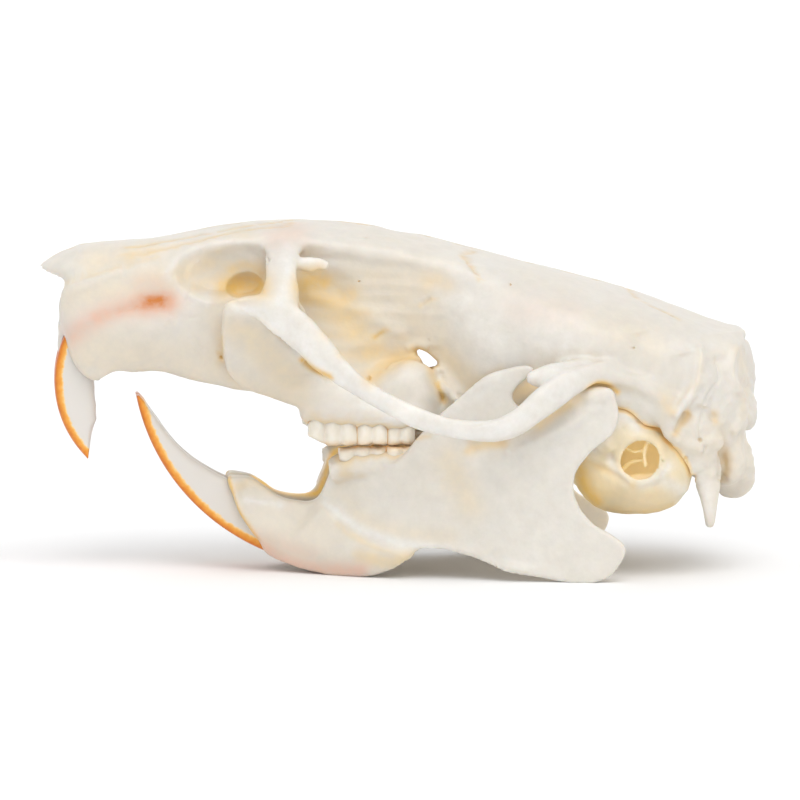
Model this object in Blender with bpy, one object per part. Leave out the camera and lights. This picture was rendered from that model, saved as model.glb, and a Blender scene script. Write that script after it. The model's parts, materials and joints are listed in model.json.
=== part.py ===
"""The cleaned skull of a brown rat, cranium and lower jaw, standing on its jaw bones.

+X runs from the nose to the back of the head, -Y is the animal's left and +Z is up. The origin is
the middle of the footprint, on the surface that the skull stands on. Every table below is in
millimetres of the posed skull, and a half width is a distance out from the middle plane. The bones
are lofted, swept and rounded solids that a voxel remesh fuses and a decimation thins, and the teeth
sit in sockets that are cut with a little clearance.
"""

import math

import bmesh
import bpy
import numpy as np
from mathutils import Matrix

MM = 0.001

# Driving dimensions, in millimetres.
REST_PLANE = 0.27
SOCKET_GAP = 0.1
BONE_VOXEL = 0.28
BULLA_VOXEL = 0.2
TOOTH_VOXEL = 0.14

CRANIUM_TRIANGLES = 3850
MANDIBLE_TRIANGLES = 720
BULLA_TRIANGLES = 330
SEAT_TRIANGLES = 150
MOLAR_TRIANGLES = 54

LEFT, RIGHT = -1, 1
SIDES = {"left": LEFT, "right": RIGHT}

# Cross-sections of the cranium's core from the front of the nose to the occiput. Each row is x, the
# roof's height on the middle line, then five (half width, height) pairs down the side: the roof's edge,
# the upper, middle and lower wall and the lower edge, and last the underside's height on the middle line.
CORE_SECTIONS = [
    (-20.4, 17.7, 1.2, 17.6, 1.9, 17.2, 2.2, 16.4, 2.1, 15.3, 1.5, 14.5, 14.4),
    (-19.6, 19.65, 1.7, 19.4, 2.4, 18.2, 2.6, 16.6, 2.6, 14.8, 2.2, 13.0, 12.8),
    (-18.4, 19.95, 1.9, 19.65, 2.6, 18.3, 2.85, 16.6, 3.0, 14.8, 2.1, 12.0, 12.2),
    (-16.5, 20.15, 2.1, 19.8, 2.75, 18.5, 3.15, 16.8, 3.5, 14.9, 2.3, 12.7, 12.9),
    (-14.5, 20.35, 2.15, 20.0, 2.8, 18.8, 3.15, 17.2, 3.6, 15.2, 2.3, 12.5, 12.8),
    (-12.5, 20.7, 2.3, 20.3, 3.0, 19.0, 3.15, 17.2, 3.45, 15.0, 2.4, 11.9, 12.3),
    (-10.5, 21.0, 2.8, 20.5, 3.2, 19.2, 3.1, 17.2, 3.2, 15.0, 2.6, 11.5, 12.0),
    (-8.0, 21.3, 3.2, 20.65, 3.1, 19.3, 2.9, 17.2, 3.1, 14.8, 3.4, 11.2, 11.4),
    (-5.5, 21.3, 3.25, 20.4, 3.0, 19.2, 2.8, 17.0, 3.3, 14.0, 4.4, 10.3, 10.6),
    (-3.0, 21.1, 3.3, 20.0, 3.1, 18.8, 2.9, 16.5, 3.4, 13.6, 4.5, 9.9, 10.2),
    (0.0, 20.6, 3.6, 19.6, 3.5, 18.3, 3.3, 16.2, 3.3, 13.2, 4.3, 9.9, 10.2),
    (2.0, 20.2, 4.0, 19.15, 4.1, 17.8, 4.0, 15.8, 3.5, 12.8, 3.1, 10.0, 10.2),
    (4.0, 19.7, 4.5, 18.6, 5.1, 17.2, 5.1, 15.2, 4.2, 12.4, 2.5, 9.7, 9.5),
    (6.5, 19.0, 4.9, 17.9, 6.3, 16.4, 6.5, 14.4, 5.4, 12.0, 2.6, 9.2, 8.8),
    (9.0, 18.4, 5.2, 17.3, 7.1, 15.8, 7.3, 13.8, 6.2, 11.2, 2.8, 8.6, 8.2),
    (12.0, 17.6, 5.4, 16.5, 7.5, 15.1, 7.6, 13.2, 6.5, 10.6, 3.0, 7.9, 7.5),
    (15.0, 16.65, 5.4, 15.7, 7.2, 14.4, 7.7, 12.4, 7.0, 10.0, 3.2, 7.2, 6.7),
    (17.5, 15.65, 5.3, 14.9, 6.9, 13.7, 7.3, 11.8, 6.8, 9.2, 3.4, 6.4, 6.0),
    (19.4, 15.0, 4.9, 14.4, 6.1, 13.0, 6.3, 11.2, 5.6, 8.8, 3.2, 5.3, 4.75),
    (20.5, 14.7, 3.3, 14.1, 4.2, 12.6, 4.4, 10.8, 4.0, 8.8, 2.7, 5.2, 4.75),
]

# The nasal bones' free front: x, half width, top and bottom.
NASAL_SECTIONS = [
    (-21.9, 0.5, 18.72, 18.45),
    (-21.4, 1.2, 19.0, 18.35),
    (-20.6, 1.8, 19.4, 18.05),
    (-20.0, 2.05, 19.65, 17.9),
    (-19.0, 2.15, 19.9, 17.9),
    (-17.5, 2.2, 20.0, 18.2),
]

# The zygomatic arch's middle line from its front root to the braincase: x, out, height, half height, half
# thickness.
ARCH = [
    (-9.9, 6.6, 16.9, 0.3, 0.3),
    (-8.8, 6.9, 16.7, 0.6, 0.35),
    (-7.6, 7.3, 16.15, 0.95, 0.4),
    (-6.6, 7.7, 15.35, 0.98, 0.42),
    (-5.6, 8.2, 14.4, 0.93, 0.42),
    (-4.4, 8.75, 13.15, 0.74, 0.42),
    (-3.2, 9.1, 12.2, 0.6, 0.42),
    (-2.0, 9.4, 11.45, 0.55, 0.42),
    (-0.9, 9.65, 10.85, 0.53, 0.42),
    (0.4, 9.9, 10.2, 0.53, 0.42),
    (1.9, 10.15, 9.68, 0.57, 0.45),
    (3.4, 10.35, 9.5, 0.6, 0.48),
    (4.9, 10.45, 9.52, 0.66, 0.5),
    (6.2, 10.35, 9.95, 0.75, 0.5),
    (7.3, 10.1, 10.7, 0.88, 0.5),
    (8.4, 9.6, 11.5, 0.92, 0.55),
    (9.6, 8.9, 12.2, 0.75, 0.7),
    (10.8, 8.0, 12.7, 0.6, 0.9),
    (12.0, 7.2, 12.9, 0.5, 0.9),
]

# The flat plate that carries the arch's front root: its outline as (x, height), and how it leans outwards
# from its foot at the palate to its upper edge.
PLATE_OUTLINE = [
    (-10.75, 13.2),
    (-10.95, 15.0),
    (-10.85, 16.7),
    (-10.2, 17.1),
    (-8.6, 17.3),
    (-6.6, 17.1),
    (-5.6, 15.4),
    (-5.0, 13.6),
    (-4.6, 12.2),
    (-4.8, 10.9),
    (-6.2, 10.3),
    (-8.0, 10.9),
    (-9.5, 11.5),
    (-10.4, 12.3),
]
PLATE_FOOT, PLATE_FOOT_HEIGHT, PLATE_LEAN, PLATE_HALF = 3.5, 11.5, 0.58, 0.38

# Swept bars of the cranium, as ARCH.
DORSAL_ROOT = [
    (-7.1, 2.7, 20.2, 1.3, 0.5),
    (-7.3, 4.4, 19.35, 1.0, 0.4),
    (-7.4, 5.8, 18.4, 0.95, 0.4),
    (-7.5, 6.6, 17.5, 1.15, 0.4),
    (-7.7, 7.1, 16.6, 1.3, 0.4),
]
SQUAMOSAL_SHELF = [
    (7.5, 8.85, 12.2, 0.3, 0.3),
    (8.4, 8.5, 12.7, 0.42, 0.5),
    (9.5, 8.0, 12.95, 0.5, 0.75),
    (10.8, 7.5, 13.0, 0.5, 0.9),
]
LACRIMAL_HOOK = [
    (-6.7, 3.4, 19.9, 0.5, 0.4),
    (-5.9, 4.1, 19.25, 0.45, 0.3),
    (-5.0, 4.3, 19.0, 0.3, 0.25),
]
NOSE_RIM = [
    (-19.8, 1.95, 17.8, 0.35, 0.35),
    (-20.3, 2.0, 17.0, 0.38, 0.38),
    (-20.45, 1.9, 16.2, 0.42, 0.4),
    (-20.3, 1.6, 15.4, 0.4, 0.4),
    (-20.3, 0.8, 14.9, 0.4, 0.5),
    (-20.3, 0.0, 14.8, 0.4, 0.5),
]
ALVEOLAR_EDGE = [
    (-6.0, 3.7, 10.25, 0.95, 1.1),
    (-4.5, 3.75, 10.05, 1.0, 1.2),
    (-1.5, 3.75, 9.95, 1.0, 1.2),
    (0.6, 3.6, 9.9, 1.0, 1.05),
    (1.9, 3.2, 10.1, 0.7, 0.6),
]
TYMPANIC_RIDGE = [
    (9.6, 8.0, 12.8, 0.55, 0.5),
    (11.2, 8.1, 12.75, 0.45, 0.55),
    (12.6, 7.9, 12.5, 0.45, 0.5),
    (13.9, 7.7, 11.9, 0.45, 0.4),
    (15.0, 7.7, 11.1, 0.5, 0.4),
    (15.6, 7.8, 10.1, 0.5, 0.4),
    (15.75, 7.85, 9.1, 0.42, 0.38),
    (15.65, 7.8, 8.2, 0.35, 0.33),
]
NUCHAL_CREST = [
    (20.55, 0.0, 14.5, 0.4, 0.3),
    (20.35, 2.0, 14.35, 0.4, 0.3),
    (19.6, 4.0, 14.15, 0.4, 0.3),
    (18.5, 5.7, 13.9, 0.4, 0.3),
    (17.6, 6.75, 13.2, 0.35, 0.3),
    (16.9, 7.3, 12.0, 0.35, 0.3),
    (16.3, 7.6, 10.8, 0.35, 0.3),
    (15.8, 7.8, 9.7, 0.35, 0.3),
]
PAROCCIPITAL_PROCESS = [
    (17.6, 5.7, 8.6, 1.2, 0.9),
    (17.95, 5.75, 7.0, 0.85, 0.75),
    (18.0, 5.7, 5.8, 0.68, 0.6),
    (18.1, 5.65, 4.4, 0.52, 0.48),
    (18.2, 5.6, 3.1, 0.38, 0.38),
]
OCCIPITAL_CONDYLE = [
    (19.2, 1.7, 5.1, 0.5, 0.6),
    (20.1, 2.0, 5.2, 0.75, 0.75),
    (20.5, 2.7, 6.0, 0.8, 0.7),
    (20.4, 3.0, 7.2, 0.65, 0.6),
    (20.1, 3.0, 8.2, 0.5, 0.5),
]
INNER_PTERYGOID = [
    (2.2, 1.7, 9.9, 0.6, 0.35),
    (4.5, 1.5, 9.1, 0.75, 0.33),
    (7.0, 1.6, 8.3, 0.7, 0.33),
    (9.0, 2.0, 7.3, 0.35, 0.28),
]
OUTER_PTERYGOID = [
    (2.6, 2.9, 10.2, 0.5, 0.35),
    (5.0, 3.1, 9.6, 0.7, 0.33),
    (8.0, 3.6, 8.9, 0.6, 0.35),
]

# Rounded swellings of the cranium: centre (x, out, height), radii.
SWELLINGS = [
    ((-20.3, 0.0, 13.9), (0.5, 0.75, 1.3)),
    ((0.2, 3.6, 11.4), (2.2, 1.15, 1.9)),
    ((17.4, 6.1, 8.9), (1.7, 1.2, 2.5)),
    ((14.2, 6.2, 10.3), (2.4, 1.3, 1.2)),
    ((20.35, 0.0, 11.2), (1.0, 2.6, 3.0)),
    ((20.6, 0.0, 9.75), (1.12, 2.3, 1.1)),
    ((19.4, 3.6, 7.2), (1.2, 1.5, 1.8)),
]

# Hollows of the cranium, swept as ARCH.
NOSE_HOLLOW = [
    (-22.5, 0.0, 17.0, 1.5, 1.5),
    (-20.4, 0.0, 17.0, 1.7, 1.55),
    (-18.0, 0.0, 17.0, 1.5, 1.55),
    (-14.0, 0.0, 17.2, 1.1, 1.2),
    (-11.5, 0.0, 17.4, 0.6, 0.6),
]
BRAIN_HOLLOW = [
    (22.5, 0.0, 7.0, 1.65, 2.3),
    (21.5, 0.0, 7.0, 1.65, 2.3),
    (20.2, 0.0, 7.15, 1.7, 2.3),
    (18.8, 0.0, 8.3, 2.3, 3.2),
    (15.5, 0.0, 11.6, 3.6, 5.4),
    (11.0, 0.0, 13.3, 3.6, 6.0),
    (7.0, 0.0, 14.8, 2.8, 4.8),
    (5.0, 0.0, 15.6, 1.4, 2.4),
]
OPTIC_HOLE = ((1.42, 13.22), (0.061, -0.096), (0.8, 0.36), -35.0)
ORBITAL_FISSURE = [
    (1.95, 5.2, 12.5, 0.16, 0.2),
    (2.2, 3.4, 11.8, 0.2, 0.25),
    (2.4, 2.6, 11.1, 0.28, 0.3),
]
PALATE_SLIT = [
    (-15.2, 0.85, 11.6, 0.9, 0.2),
    (-13.8, 0.9, 11.6, 1.3, 0.36),
    (-11.4, 0.95, 11.3, 1.3, 0.4),
    (-9.2, 0.85, 11.0, 0.9, 0.25),
]
THROAT_HOLLOW = [
    (1.7, 0.0, 9.4, 0.6, 0.8),
    (3.5, 0.0, 8.9, 1.1, 1.05),
    (7.0, 0.0, 7.7, 1.1, 1.15),
    (10.0, 0.0, 6.7, 0.6, 1.2),
]

# The auditory bulla: body, the collar of the ear opening, and the hollow inside. Centre, radii, turn about Z.
BULLA_BODY = ((13.6, 5.3, 6.5), (3.6, 2.5, 2.4), 14.0)
EAR_COLLAR = ((13.9, 6.7, 8.0), (1.95, 1.15, 1.85), 0.0)
BULLA_HOLLOW = ((13.9, 5.6, 6.9), (2.5, 1.6, 1.6), 14.0)
EAR_HOLE = ((13.8, 7.5), 1.15)
BULLA_GAP = 0.14

# The incisors lie on circles: centre (x, height), the outer face's radius and the depth of the tooth. The
# angles run from the tip to the hidden root, and the last pair is the line of the worn face.
UPPER_INCISOR = {
    "centre": (-14.3, 11.75),
    "outer": 6.5,
    "depth": 2.35,
    "angles": (225.6, 150.0),
    "out": ((225.6, 0.84), (180.0, 0.87), (150.0, 0.95)),
    "half_width": 0.7,
    "facet": ((-18.85, 7.2), (-18.12, 9.9)),
}
LOWER_INCISOR = {
    "centre": (-3.4, 13.3),
    "outer": 12.75,
    "depth": 2.45,
    "angles": (190.2, 254.0),
    "out": ((190.2, 0.72), (222.0, 0.8), (238.0, 1.05), (254.0, 1.6)),
    "half_width": 0.6,
    "facet": ((-15.9, 11.0), (-11.8, 6.3)),
}

# Cheek teeth, as (front x, back x, half width at the crown, out of the middle).
UPPER_MOLARS = [(-5.7, -2.88, 0.92, 3.78), (-2.76, -1.08, 0.86, 3.8), (-0.96, 0.62, 0.72, 3.72)]
LOWER_MOLARS = [(-3.85, -1.1, 0.85, 3.4), (-0.98, 0.88, 0.86, 3.6), (1.0, 2.6, 0.74, 3.85)]
UPPER_CROWN, UPPER_ROOT = 8.2, 10.1
LOWER_CROWN, LOWER_ROOT = 7.98, 6.4

# The jaw bone seen from its side, as (x, height): along the lower edge to the angle, up the back to the
# condyle, over the notch to the coronoid process, and down past the cheek teeth to the incisor.
JAW_OUTLINE = [
    (-8.6, 1.6),
    (-7.9, 1.1),
    (-6.9, 0.7),
    (-5.9, 0.4),
    (-4.4, 0.2),
    (-2.9, 0.16),
    (-1.8, 0.3),
    (-0.8, 0.64),
    (0.2, 1.3),
    (1.05, 1.65),
    (3.0, 1.45),
    (5.0, 1.0),
    (7.9, 0.36),
    (9.9, 0.17),
    (11.0, 0.2),
    (12.0, 0.6),
    (12.7, 1.6),
    (12.85, 2.4),
    (12.1, 3.1),
    (10.9, 3.8),
    (10.0, 4.9),
    (9.73, 6.05),
    (10.0, 7.05),
    (10.9, 8.15),
    (11.9, 8.95),
    (12.4, 9.95),
    (12.25, 11.1),
    (11.9, 11.85),
    (10.4, 11.85),
    (9.6, 10.75),
    (8.8, 10.1),
    (7.7, 9.9),
    (6.7, 10.2),
    (6.25, 10.9),
    (6.6, 11.6),
    (7.15, 12.2),
    (7.55, 12.75),
    (7.25, 13.12),
    (6.7, 13.12),
    (6.1, 12.95),
    (5.1, 12.65),
    (4.3, 12.15),
    (3.0, 11.0),
    (1.8, 9.9),
    (0.7, 8.6),
    (-0.6, 7.2),
    (-2.5, 6.8),
    (-4.1, 6.8),
    (-4.45, 6.2),
    (-5.1, 4.95),
    (-6.0, 4.73),
    (-8.0, 4.8),
    (-9.3, 5.2),
    (-10.15, 5.95),
    (-10.95, 6.0),
    (-10.75, 5.4),
    (-10.45, 4.7),
    (-9.75, 3.4),
    (-9.05, 2.5),
]

# How far out the jaw's middle surface lies along its length, and the half thickness of its bare blade.
JAW_OUT = [
    (-11.5, 1.0),
    (-9.5, 1.12),
    (-8.0, 1.35),
    (-6.5, 1.8),
    (-5.0, 2.45),
    (-3.5, 3.2),
    (-2.0, 4.0),
    (0.0, 5.0),
    (3.0, 6.2),
    (6.0, 7.1),
    (9.0, 7.85),
    (13.2, 8.6),
]
JAW_MIDLINE_GAP = 0.07
JAW_BLADE_HALF = 0.42
JAW_BODY_HALF, JAW_BODY_REACH = 0.95, 1.7
JAW_BODY_FADE = (-2.5, 5.0)
JAW_SHELF = [
    (-4.2, 3.0, 6.3, 0.8, 0.95),
    (-3.0, 3.35, 6.55, 0.85, 1.15),
    (0.0, 3.65, 6.7, 0.9, 1.2),
    (2.6, 4.1, 7.0, 0.8, 1.1),
    (4.0, 4.9, 7.0, 0.5, 0.8),
]
MASSETER_CREST = [
    (-5.6, 3.0, 5.0, 0.3, 0.3),
    (-4.8, 3.55, 4.5, 0.36, 0.42),
    (-3.86, 4.1, 3.95, 0.4, 0.5),
    (-2.87, 4.6, 3.2, 0.42, 0.5),
    (-1.9, 5.05, 2.65, 0.4, 0.48),
    (-0.9, 5.5, 2.2, 0.38, 0.45),
    (0.1, 5.85, 1.95, 0.36, 0.42),
    (2.0, 6.45, 1.85, 0.35, 0.38),
    (5.0, 7.2, 1.25, 0.35, 0.38),
    (8.5, 8.05, 0.75, 0.35, 0.38),
]
JAW_CONDYLE = ((11.2, 8.15, 11.35), (1.1, 0.75, 0.6))

BONE = ("bone", (0.86, 0.8, 0.68), 0.45)
ENAMEL = ("enamel", (0.83, 0.4, 0.06), 0.25)
TOOTH = ("tooth", (0.9, 0.86, 0.78), 0.3)


def smooth_rows(rows, steps):
    """Rows of numbers run through by a Catmull-Rom curve, with this many steps from each row to the next."""
    rows = np.array(rows, float)
    ends = np.vstack([2 * rows[0] - rows[1], rows, 2 * rows[-1] - rows[-2]])
    t = np.linspace(0, 1, steps, endpoint=False)[:, None]
    spans = [
        0.5 * (2 * b + (c - a) * t + (2 * a - 5 * b + 4 * c - d) * t**2 + (3 * b - a - 3 * c + d) * t**3)
        for a, b, c, d in zip(ends, ends[1:], ends[2:], ends[3:])
    ]
    return np.vstack([*spans, rows[-1:]])


def smooth_loop(points, steps):
    """The same curve round a closed loop of points."""
    points = np.array(points, float)
    wrapped = np.vstack([points[-2:], points, points[:3]])
    return smooth_rows(wrapped, steps)[2 * steps : (2 + len(points)) * steps]


def new_object(name, bm):
    mesh = bpy.data.meshes.new(name)
    bm.to_mesh(mesh)
    bm.free()
    obj = bpy.data.objects.new(name, mesh)
    bpy.context.scene.collection.objects.link(obj)
    return obj


def skin(name, rings):
    """A closed skin over rings of points that run the same way round."""
    bm = bmesh.new()
    loops = [[bm.verts.new(point) for point in ring] for ring in rings]
    for near, far in zip(loops, loops[1:]):
        for i in range(len(near)):
            j = (i + 1) % len(near)
            bm.faces.new((near[i], near[j], far[j], far[i]))
    bm.faces.new(loops[0])
    bm.faces.new(loops[-1])
    bmesh.ops.recalc_face_normals(bm, faces=bm.faces)
    return new_object(name, bm)


def sweep(name, rows, wide=(0, 1, 0), steps=5, sides=16):
    """An oval bar along rows of x, out, height, half height and half thickness, which lies along wide."""
    rows = smooth_rows(rows, steps)
    centres, tall, thick = rows[:, :3], rows[:, 3], rows[:, 4]
    along = np.gradient(centres, axis=0)
    along /= np.linalg.norm(along, axis=1)[:, None]
    across = np.array(wide) - along * (along @ np.array(wide))[:, None]
    across /= np.linalg.norm(across, axis=1)[:, None]
    up = np.cross(across, along)
    turn = np.linspace(0, 2 * math.pi, sides, endpoint=False)
    rings = [
        c + np.outer(np.cos(turn) * h, u) + np.outer(np.sin(turn) * w, a)
        for c, h, w, u, a in zip(centres, tall, thick, up, across)
    ]
    return skin(name, rings)


def ellipsoid(name, centre, radii, turn=0.0):
    bm = bmesh.new()
    bmesh.ops.create_icosphere(bm, subdivisions=3, radius=1.0)
    place = Matrix.Translation(centre) @ Matrix.Rotation(math.radians(turn), 4, "Z")
    bm.transform(place @ Matrix.Diagonal((*radii, 1.0)))
    return new_object(name, bm)


def slab(name, outline, half, steps=4):
    """A flat slab that stands along X with this outline of (x, height) points, half to each side of y = 0."""
    bm = bmesh.new()
    face = bm.faces.new([bm.verts.new((x, -half, z)) for x, z in smooth_loop(outline, steps)])
    grown = bmesh.ops.extrude_face_region(bm, geom=[face])
    moved = [v for v in grown["geom"] if isinstance(v, bmesh.types.BMVert)]
    bmesh.ops.translate(bm, verts=moved, vec=(0, 2 * half, 0))
    bmesh.ops.recalc_face_normals(bm, faces=bm.faces)
    return new_object(name, bm)


def mirrored(obj):
    """A copy of the object on the other side of the middle plane."""
    bm = bmesh.new()
    bm.from_mesh(obj.data)
    bm.transform(Matrix.Diagonal((1, -1, 1, 1)))
    bmesh.ops.reverse_faces(bm, faces=bm.faces)
    return new_object(obj.name + "_mirrored", bm)


def joined(name, shapes):
    """One object from several overlapping shapes."""
    bm = bmesh.new()
    for shape in shapes:
        bm.from_mesh(shape.data)
        bpy.data.objects.remove(shape)
    return new_object(name, bm)


def add_modifier(obj, kind, **settings):
    modifier = obj.modifiers.new(kind.title(), kind)
    for name, value in settings.items():
        setattr(modifier, name, value)
    return modifier


def settle(obj):
    """Turns the object's modifiers into its own mesh."""
    graph = bpy.context.evaluated_depsgraph_get()
    mesh = bpy.data.meshes.new_from_object(obj.evaluated_get(graph))
    obj.modifiers.clear()
    obj.data = mesh


def fuse(obj, voxel, rounds):
    """Grows one even skin over the object's shapes and rounds it."""
    add_modifier(obj, "REMESH", mode="VOXEL", voxel_size=voxel)
    add_modifier(obj, "SMOOTH", factor=0.5, iterations=rounds)
    settle(obj)


def carve(obj, cutter):
    """Cuts one shape out of the object."""
    add_modifier(obj, "BOOLEAN", operation="DIFFERENCE", object=cutter)
    settle(obj)
    bpy.data.objects.remove(cutter)


def thin_out(obj, triangles):
    """Thins the mesh to about this many triangles."""
    add_modifier(obj, "TRIANGULATE")
    settle(obj)
    add_modifier(obj, "DECIMATE", ratio=triangles / len(obj.data.polygons))
    settle(obj)


def move_points(obj, change):
    """Moves every vertex of the mesh by a function of the whole array of points."""
    points = np.empty(len(obj.data.vertices) * 3, np.float32)
    obj.data.vertices.foreach_get("co", points)
    moved = change(points.reshape(-1, 3).astype(float))
    obj.data.vertices.foreach_set("co", moved.astype(np.float32).ravel())
    obj.data.update()


def finish_object(obj, look):
    """Brings a piece to metres and onto the rest plane, and gives it its material."""
    name, colour, roughness = look
    obj.data.transform(Matrix.Scale(MM, 4) @ Matrix.Translation((0, 0, -REST_PLANE)))
    material = bpy.data.materials.get(name) or bpy.data.materials.new(name)
    material.use_nodes = True
    shader = material.node_tree.nodes["Principled BSDF"]
    shader.inputs["Base Color"].default_value = (*colour, 1.0)
    shader.inputs["Roughness"].default_value = roughness
    obj.data.materials.clear()
    obj.data.materials.append(material)
    obj.data.shade_smooth()
    obj.data.set_sharp_from_angle(angle=math.radians(40))


def core_skin():
    """The cranium's long core, lofted through its cross-sections."""
    rings = []
    for row in smooth_rows(CORE_SECTIONS, 5):
        x, roof, pairs, floor = row[0], row[1], row[2:12].reshape(5, 2), row[12]
        half = [(0, roof), *pairs, (0, floor)]
        other = [(-y, z) for y, z in pairs[::-1]]
        rings.append([(x, y, z) for y, z in smooth_loop([*half, *other], 4)])
    return skin("core", rings)


def nasal_skin():
    """The nasal bones' overhanging front, a flattened cone."""
    rings = []
    turn = np.linspace(0, 2 * math.pi, 20, endpoint=False)
    for x, half, top, bottom in smooth_rows(NASAL_SECTIONS, 4):
        tall = (top - bottom) / 2
        rings.append([(x, half * math.sin(a), bottom + tall + tall * math.cos(a)) for a in turn])
    return skin("nasals", rings)


def leaning_plate():
    """The plate under the front root of the arch, leaning outwards as it rises."""
    plate = slab("plate", PLATE_OUTLINE, PLATE_HALF)
    add_modifier(plate, "REMESH", mode="VOXEL", voxel_size=0.2)
    settle(plate)

    def lean(points):
        points[:, 1] += PLATE_FOOT + PLATE_LEAN * (points[:, 2] - PLATE_FOOT_HEIGHT)
        return points

    move_points(plate, lean)
    return plate


def optic_tunnel():
    """An oval hole through the thin wall between the orbits, slanted so that light shows through it."""
    (x, z), (slant_x, slant_z), (long, short), turn = OPTIC_HOLE
    start, reach = 3.4, 9.0
    tilt = math.radians(turn)
    ring = np.linspace(0, 2 * math.pi, 16, endpoint=False)
    u, w = long * np.cos(ring), short * np.sin(ring)
    oval = np.stack([u * math.cos(tilt) - w * math.sin(tilt), u * math.sin(tilt) + w * math.cos(tilt)], 1)
    rings = []
    for out in (start + 1.6, start - reach):
        shift = start - out
        rings.append([(x + slant_x * shift + p, out, z + slant_z * shift + q) for p, q in oval])
    return skin("optic_tunnel", rings)


def cranium():
    arch = sweep("arch", ARCH)
    bars = [arch, leaning_plate(), sweep("dorsal_root", DORSAL_ROOT, wide=(0, 0.6, 0.8))]
    for name, rows in {
        "squamosal_shelf": SQUAMOSAL_SHELF,
        "hook": LACRIMAL_HOOK,
        "nose_rim": NOSE_RIM,
        "alveolar_edge": ALVEOLAR_EDGE,
        "tympanic_ridge": TYMPANIC_RIDGE,
        "nuchal_crest": NUCHAL_CREST,
        "paroccipital": PAROCCIPITAL_PROCESS,
        "condyle": OCCIPITAL_CONDYLE,
        "inner_pterygoid": INNER_PTERYGOID,
        "outer_pterygoid": OUTER_PTERYGOID,
    }.items():
        wide = (1, 0, 0) if name in ("nose_rim", "nuchal_crest") else (0, 1, 0)
        bars.append(sweep(name, rows, wide))
    bars += [ellipsoid("swelling", centre, radii) for centre, radii in SWELLINGS]
    skull = joined("cranium", [core_skin(), nasal_skin(), *bars, *[mirrored(bar) for bar in bars]])
    fuse(skull, BONE_VOXEL, 3)

    hollows = [optic_tunnel(), sweep("fissure", ORBITAL_FISSURE), sweep("slit", PALATE_SLIT)]
    hollows += [mirrored(hollow) for hollow in hollows]
    hollows += [
        sweep("nose_hollow", NOSE_HOLLOW),
        sweep("brain_hollow", BRAIN_HOLLOW),
        sweep("throat_hollow", THROAT_HOLLOW),
    ]
    cutter = joined("hollows", hollows)
    add_modifier(cutter, "REMESH", mode="VOXEL", voxel_size=0.15)
    settle(cutter)
    carve(skull, cutter)
    fuse(skull, BONE_VOXEL, 2)
    thin_out(skull, CRANIUM_TRIANGLES)
    return skull


def incisor(name, spec, side, grow=0.0, steps=11):
    """An incisor bent along its circle, with the worn face as its inner edge near the tip."""
    cx, cz = spec["centre"]
    first, last = spec["angles"]
    inner = spec["outer"] - spec["depth"]
    (ax, az), (bx, bz) = spec["facet"]
    normal = np.array([bz - az, ax - bx])
    angles, outs = zip(*sorted(spec["out"]))
    overrun = math.copysign(grow * 4, last - first)
    rings = []
    for angle in np.linspace(first, last + overrun, steps):
        ray = np.array([math.cos(math.radians(angle)), math.sin(math.radians(angle))])
        facing = normal @ ray
        worn = (normal @ np.array([ax - cx, az - cz])) / facing if abs(facing) > 1e-6 else 0.0
        low = max(inner, worn) if worn < spec["outer"] else spec["outer"] - 0.12
        low = min(low, spec["outer"] - 0.12) - grow
        high = spec["outer"] + grow
        half = spec["half_width"] + grow
        out = np.interp(angle, angles, outs)
        middle, tall = (low + high) / 2, (high - low) / 2
        ring = []
        for turn in np.linspace(0, 2 * math.pi, 10, endpoint=False):
            c, s = math.cos(turn), math.sin(turn)
            reach = middle + tall * math.copysign(abs(c) ** 0.7, c)
            y = out + half * math.copysign(abs(s) ** 0.6, s)
            ring.append((cx + ray[0] * reach, side * y, cz + ray[1] * reach))
        rings.append(ring)
    return skin(name, rings)


def molar(name, place, crown, root, side, grow=0.0):
    """A cheek tooth: a rounded block whose crown has a lobe for each row of cusps."""
    front, back, half, out = place
    lobes = 3 if back - front > 2 else 2
    length = (back - front) / lobes
    low, high = min(crown, root), max(crown, root)
    shapes = []
    for i in range(lobes):
        x = front + (i + 0.5) * length
        bm = bmesh.new()
        bmesh.ops.create_cone(
            bm,
            cap_ends=True,
            segments=12,
            radius1=1.0,
            radius2=1.0,
            depth=1.0,
            matrix=Matrix.Translation((x, side * out, (low + high) / 2))
            @ Matrix.Diagonal((length * 0.62 + grow, half + grow, high - low + 2 * grow, 1.0)),
        )
        shapes.append(new_object("lobe", bm))
    tooth = joined(name, shapes)
    add_modifier(tooth, "REMESH", mode="VOXEL", voxel_size=TOOTH_VOXEL)
    add_modifier(tooth, "SMOOTH", factor=0.5, iterations=2)
    settle(tooth)

    def keep_length(points):
        points[:, 0] = np.clip(points[:, 0], front - grow, back + grow)
        return points

    move_points(tooth, keep_length)
    thin_out(tooth, MOLAR_TRIANGLES)
    return tooth


def bulla(name, side, grow=0.0):
    """The ear's bony bubble, hollow behind its round opening; grown, it is the solid cutter for its seat."""
    shapes = []
    for (x, out, z), radii, turn in (BULLA_BODY, EAR_COLLAR):
        wide = [r + grow for r in radii]
        shapes.append(ellipsoid("bubble", (x, side * out, z), wide, side * turn))
    ear = joined(name, shapes)
    fuse(ear, BULLA_VOXEL, 2)
    if not grow:
        (x, out, z), radii, turn = BULLA_HOLLOW
        (hole_x, hole_z), radius = EAR_HOLE
        bore = [(hole_x, side * (out + far), hole_z, radius, radius) for far in (0.0, 1.5, 3.6)]
        hollows = [
            ellipsoid("hollow", (x, side * out, z), radii, side * turn),
            sweep("bore", bore, wide=(1, 0, 0), steps=2),
        ]
        cutter = joined("ear_hollow", hollows)
        add_modifier(cutter, "REMESH", mode="VOXEL", voxel_size=0.15)
        settle(cutter)
        carve(ear, cutter)
        fuse(ear, BULLA_VOXEL * 0.8, 2)
    thin_out(ear, SEAT_TRIANGLES if grow else BULLA_TRIANGLES)
    return ear


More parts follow.
